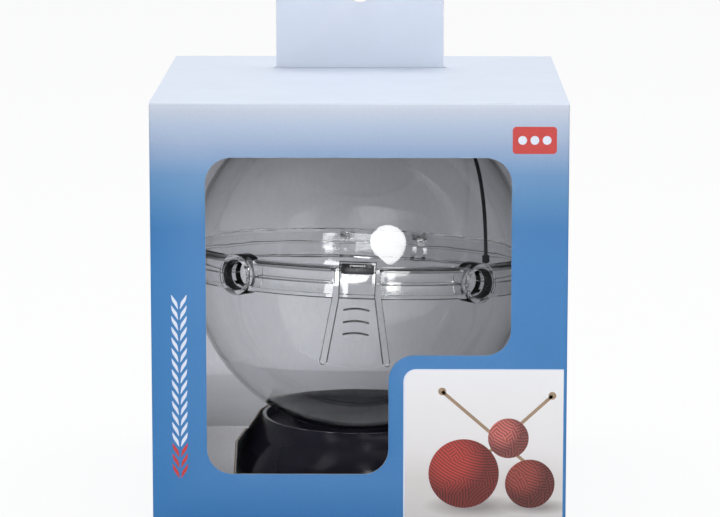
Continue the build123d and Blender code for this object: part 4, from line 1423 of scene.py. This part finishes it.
class CORD_OT_cord(bpy.types.Operator):
    """Lay the carry cord with its wrist loop on the dome, and tie its two knots"""

    bl_idname = "yarnbox.cord"
    bl_label = "Carry cord"

    def execute(self, context):
        finishes = library(context)
        diameter = context.scene.yarn_cord.diameter
        route = [STAND @ (Vector(p) * MM) for p in CORD_ROUTE]
        curve = bpy.data.curves.new("carry_cord_line", "CURVE")
        curve.dimensions = "3D"
        spline = curve.splines.new("NURBS")
        spline.points.add(len(route) - 1)
        for point, at in zip(spline.points, route):
            point.co = (*at, 1)
        spline.order_u = 3
        spline.use_endpoint_u = True
        spline.resolution_u = 12
        curve.bevel_depth = diameter / 2
        curve.bevel_resolution = 4
        curve.use_fill_caps = True
        cord = bpy.data.objects.new("carry_cord_line", curve)
        context.scene.collection.objects.link(cord)
        cord.data.materials.append(finishes["cord"])
        start, neighbour = route[0], route[1]
        along = (neighbour - start).normalized()
        stem, onward = route[STEM_POINT], route[STEM_POINT + 1]
        above, upward = (stem + onward) / 2, (onward - stem).normalized()
        knots = [
            self.knot("cord_knot_eyelet", "cord_knot", start - along * 0.0012, along, diameter * 0.8),
            self.knot("cord_knot_loop", "cord_end_knot", above, upward, diameter),
        ]
        finish_piece(cord, "globe_upper", "black_cord", "carry_cord")
        tuple(start)
        return {"FINISHED"}

    def knot(self, name, node, centre, along, diameter):
        """A barrel knot: three turns of the cord pulled tight round the strand, each a little askew."""
        turns = []
        for step, lean in ((-1, 12), (0, -9), (1, 10)):
            deselect()
            bpy.ops.mesh.primitive_torus_add(
                major_segments=40, minor_segments=14,
                major_radius=diameter * 0.80, minor_radius=diameter * 0.50)
            turn = bpy.context.object
            lengthwise = along.to_track_quat("Z", "Y").to_matrix().to_4x4()
            askew = Matrix.Rotation(math.radians(lean), 4, "X")
            place(turn, Matrix.Translation(centre + along * (step * diameter * 0.72)) @ lengthwise @ askew)
            turns.append(turn)
        made = merge_pieces(name, turns)
        paint(made, library(bpy.context)["cord"])
        smooth(made, 60)
        finish_piece(made, "globe_upper", "black_cord", node)
        return made


# ------------------------------------------------------------------ stage
LAMPS = (     # name, azimuth, elevation, distance, sides, watts, and what it acts on
    ("key_glint", 21, 21, 2.0, (0.84,), 17, "mirrored"),
    ("top_softbox", 180, 76, 2.0, (1.4, 1.2), 19, "both"),
    ("front_fill", -3, 13, 2.4, (3.0, 0.6), 33, "lit"),
    ("card_left", -48, 39, 2.0, (0.9, 1.0), 1.2, "mirrored"),
    ("card_middle", 24, 42, 2.0, (1.25, 0.45), 1.0, "mirrored"),
    ("low_card_front", -2, -3.9, 1.0, (0.24, 0.078), 0.55, "mirrored"),
    ("low_card_right", 21, -3.9, 1.0, (0.12, 0.078), 0.28, "mirrored"),
)
AIM = Vector((0, 0, 0.11))                   # the lamps point at the middle of the globe
CAMERA_SPOT, CAMERA_LENS, CAMERA_DOWN, CAMERA_TURN = (0.0185, -1.690, 0.4052), 168.7, 9.787, 0.652


class STAGE_OT_stage(bpy.types.Operator):
    """Set the pale floor, the soft lamps and the camera"""

    bl_idname = "yarnbox.stage"
    bl_label = "Stage"

    def execute(self, context):
        context.scene.view_settings.view_transform = "Standard"
        self.lay_floor()
        self.paint_room(context.scene)
        for row in LAMPS:
            self.hang_lamp(context.scene, *row)
        self.set_camera(context.scene)
        return {"FINISHED"}

    def lay_floor(self):
        """Pale paper under the box, which looks nearly white whatever falls on it."""
        deselect()
        bpy.ops.mesh.primitive_plane_add(size=14, location=(0, 0, -0.0003))
        floor = bpy.context.object
        floor.name = "floor"
        f = Finish("pale_floor")
        f.set(Base_Color=(0.88, 0.88, 0.89, 1), Roughness=0.75)
        f.bump(f.noise(60, 3), 0.02, 0.001)
        paper = f.node("ShaderNodeEmission", Color=(1, 1, 1, 1), Strength=1.0)
        f.show(f.maths("MULTIPLY", f.seen_by("Camera"), 0.90), f.shader.outputs["BSDF"],
               paper.outputs["Emission"], f.output)
        paint(floor, f.material)

    def paint_room(self, scene):
        """A pale sweep behind and round the object, and a darker room in front of it."""
        world = bpy.data.worlds.new("studio")
        scene.world = world
        world.use_nodes = True
        world.node_tree.nodes.clear()
        room = Nodes(world.node_tree)
        split = room.node("ShaderNodeSeparateXYZ")
        room.join(room.node("ShaderNodeTexCoord").outputs["Generated"], split.inputs["Vector"])
        depth = room.node("ShaderNodeMapRange", From_Min=-0.75, From_Max=0.20, To_Min=0.06, To_Max=0.78)
        depth.interpolation_type = "SMOOTHSTEP"
        room.join(split.outputs["Y"], depth.inputs["Value"])
        around = room.node("ShaderNodeBackground", Color=(0.95, 0.97, 1.0, 1))
        room.join(depth.outputs["Result"], around.inputs["Strength"])
        seen = room.node("ShaderNodeBackground", Color=(1, 1, 1, 1), Strength=1.0)
        room.show(room.seen_by("Camera"), around.outputs["Background"], seen.outputs["Background"],
                  room.node("ShaderNodeOutputWorld"))

    def hang_lamp(self, scene, name, azimuth, elevation, distance, sides, watts, acts):
        """A round or oblong lamp. It lights the box, or is only mirrored in it as a card, or both."""
        data = bpy.data.lights.new(name, "AREA")
        data.shape = "RECTANGLE" if len(sides) == 2 else "DISK"
        data.size = sides[0]
        if len(sides) == 2:
            data.size_y = sides[1]
        data.energy = watts
        made = bpy.data.objects.new(name, data)
        a, e = math.radians(azimuth), math.radians(elevation)
        out = Vector((math.sin(a) * math.cos(e), -math.cos(a) * math.cos(e), math.sin(e)))
        made.location = AIM + out * distance
        made.rotation_mode = "QUATERNION"
        made.rotation_quaternion = (-out).to_track_quat("-Z", "Y")
        made.visible_diffuse = acts != "mirrored"
        made.visible_glossy = made.visible_transmission = acts != "lit"
        scene.collection.objects.link(made)

    def set_camera(self, scene):
        """A long lens in front of the box and a little above it."""
        lens = bpy.data.cameras.new("front_camera")
        lens.sensor_width = 36.0
        lens.lens = CAMERA_LENS
        lens.clip_start, lens.clip_end = 0.05, 50
        camera = bpy.data.objects.new("front_camera", lens)
        camera.location = CAMERA_SPOT
        camera.rotation_euler = (math.radians(90 - CAMERA_DOWN), 0, math.radians(CAMERA_TURN))
        scene.collection.objects.link(camera)
        scene.camera = camera


# ------------------------------------------------------------------ panel and registration
OPERATORS = (
    STAGE_OT_stage,
    CORD_OT_cord,
    CARTON_OT_walls,
    CARTON_OT_bottom,
    CARTON_OT_lid,
    CARTON_OT_print,
    TRAY_OT_tray,
    FOOT_OT_foot,
    GLOBE_OT_dome,
    GLOBE_OT_bowl,
    GLOBE_OT_latch,
    GLOBE_OT_fittings,
)
SETTINGS = (
    (CartonSettings, "yarn_carton"),
    (GlobeSettings, "yarn_globe"),
    (FootSettings, "yarn_foot"),
    (CordSettings, "yarn_cord"),
)


class YARNBOX_PT_pieces(bpy.types.Panel):
    """Lists the pieces of the boxed yarn dispenser"""

    bl_idname = "YARNBOX_PT_pieces"
    bl_label = "Boxed yarn dispenser"
    bl_space_type = "VIEW_3D"
    bl_region_type = "UI"
    bl_category = "Yarn box"

    def draw(self, context):
        column = self.layout.column(align=True)
        for operator in OPERATORS:
            column.operator(operator.bl_idname)
        for kind, name in SETTINGS:
            settings = getattr(context.scene, name)
            for prop in kind.__annotations__:
                self.layout.prop(settings, prop)


def register():
    """Make the settings, the operators and the panel known."""
    for kind, name in SETTINGS:
        bpy.utils.register_class(kind)
        setattr(bpy.types.Scene, name, PointerProperty(type=kind))
    for operator in OPERATORS:
        bpy.utils.register_class(operator)
    bpy.utils.register_class(YARNBOX_PT_pieces)


def unregister():
    """Take them away again, in the opposite order."""
    bpy.utils.unregister_class(YARNBOX_PT_pieces)
    for operator in reversed(OPERATORS):
        bpy.utils.unregister_class(operator)
    for kind, name in reversed(SETTINGS):
        delattr(bpy.types.Scene, name)
        bpy.utils.unregister_class(kind)


def main():
    """Model all pieces."""
    register()
    bpy.ops.yarnbox.stage()
    bpy.ops.yarnbox.cord()
    bpy.ops.yarnbox.walls()
    bpy.ops.yarnbox.bottom()
    bpy.ops.yarnbox.lid()
    bpy.ops.yarnbox.print()
    bpy.ops.yarnbox.tray()
    bpy.ops.yarnbox.foot()
    bpy.ops.yarnbox.dome()
    bpy.ops.yarnbox.bowl()
    bpy.ops.yarnbox.latch()
    bpy.ops.yarnbox.fittings()


if __name__ == "__main__":
    main()
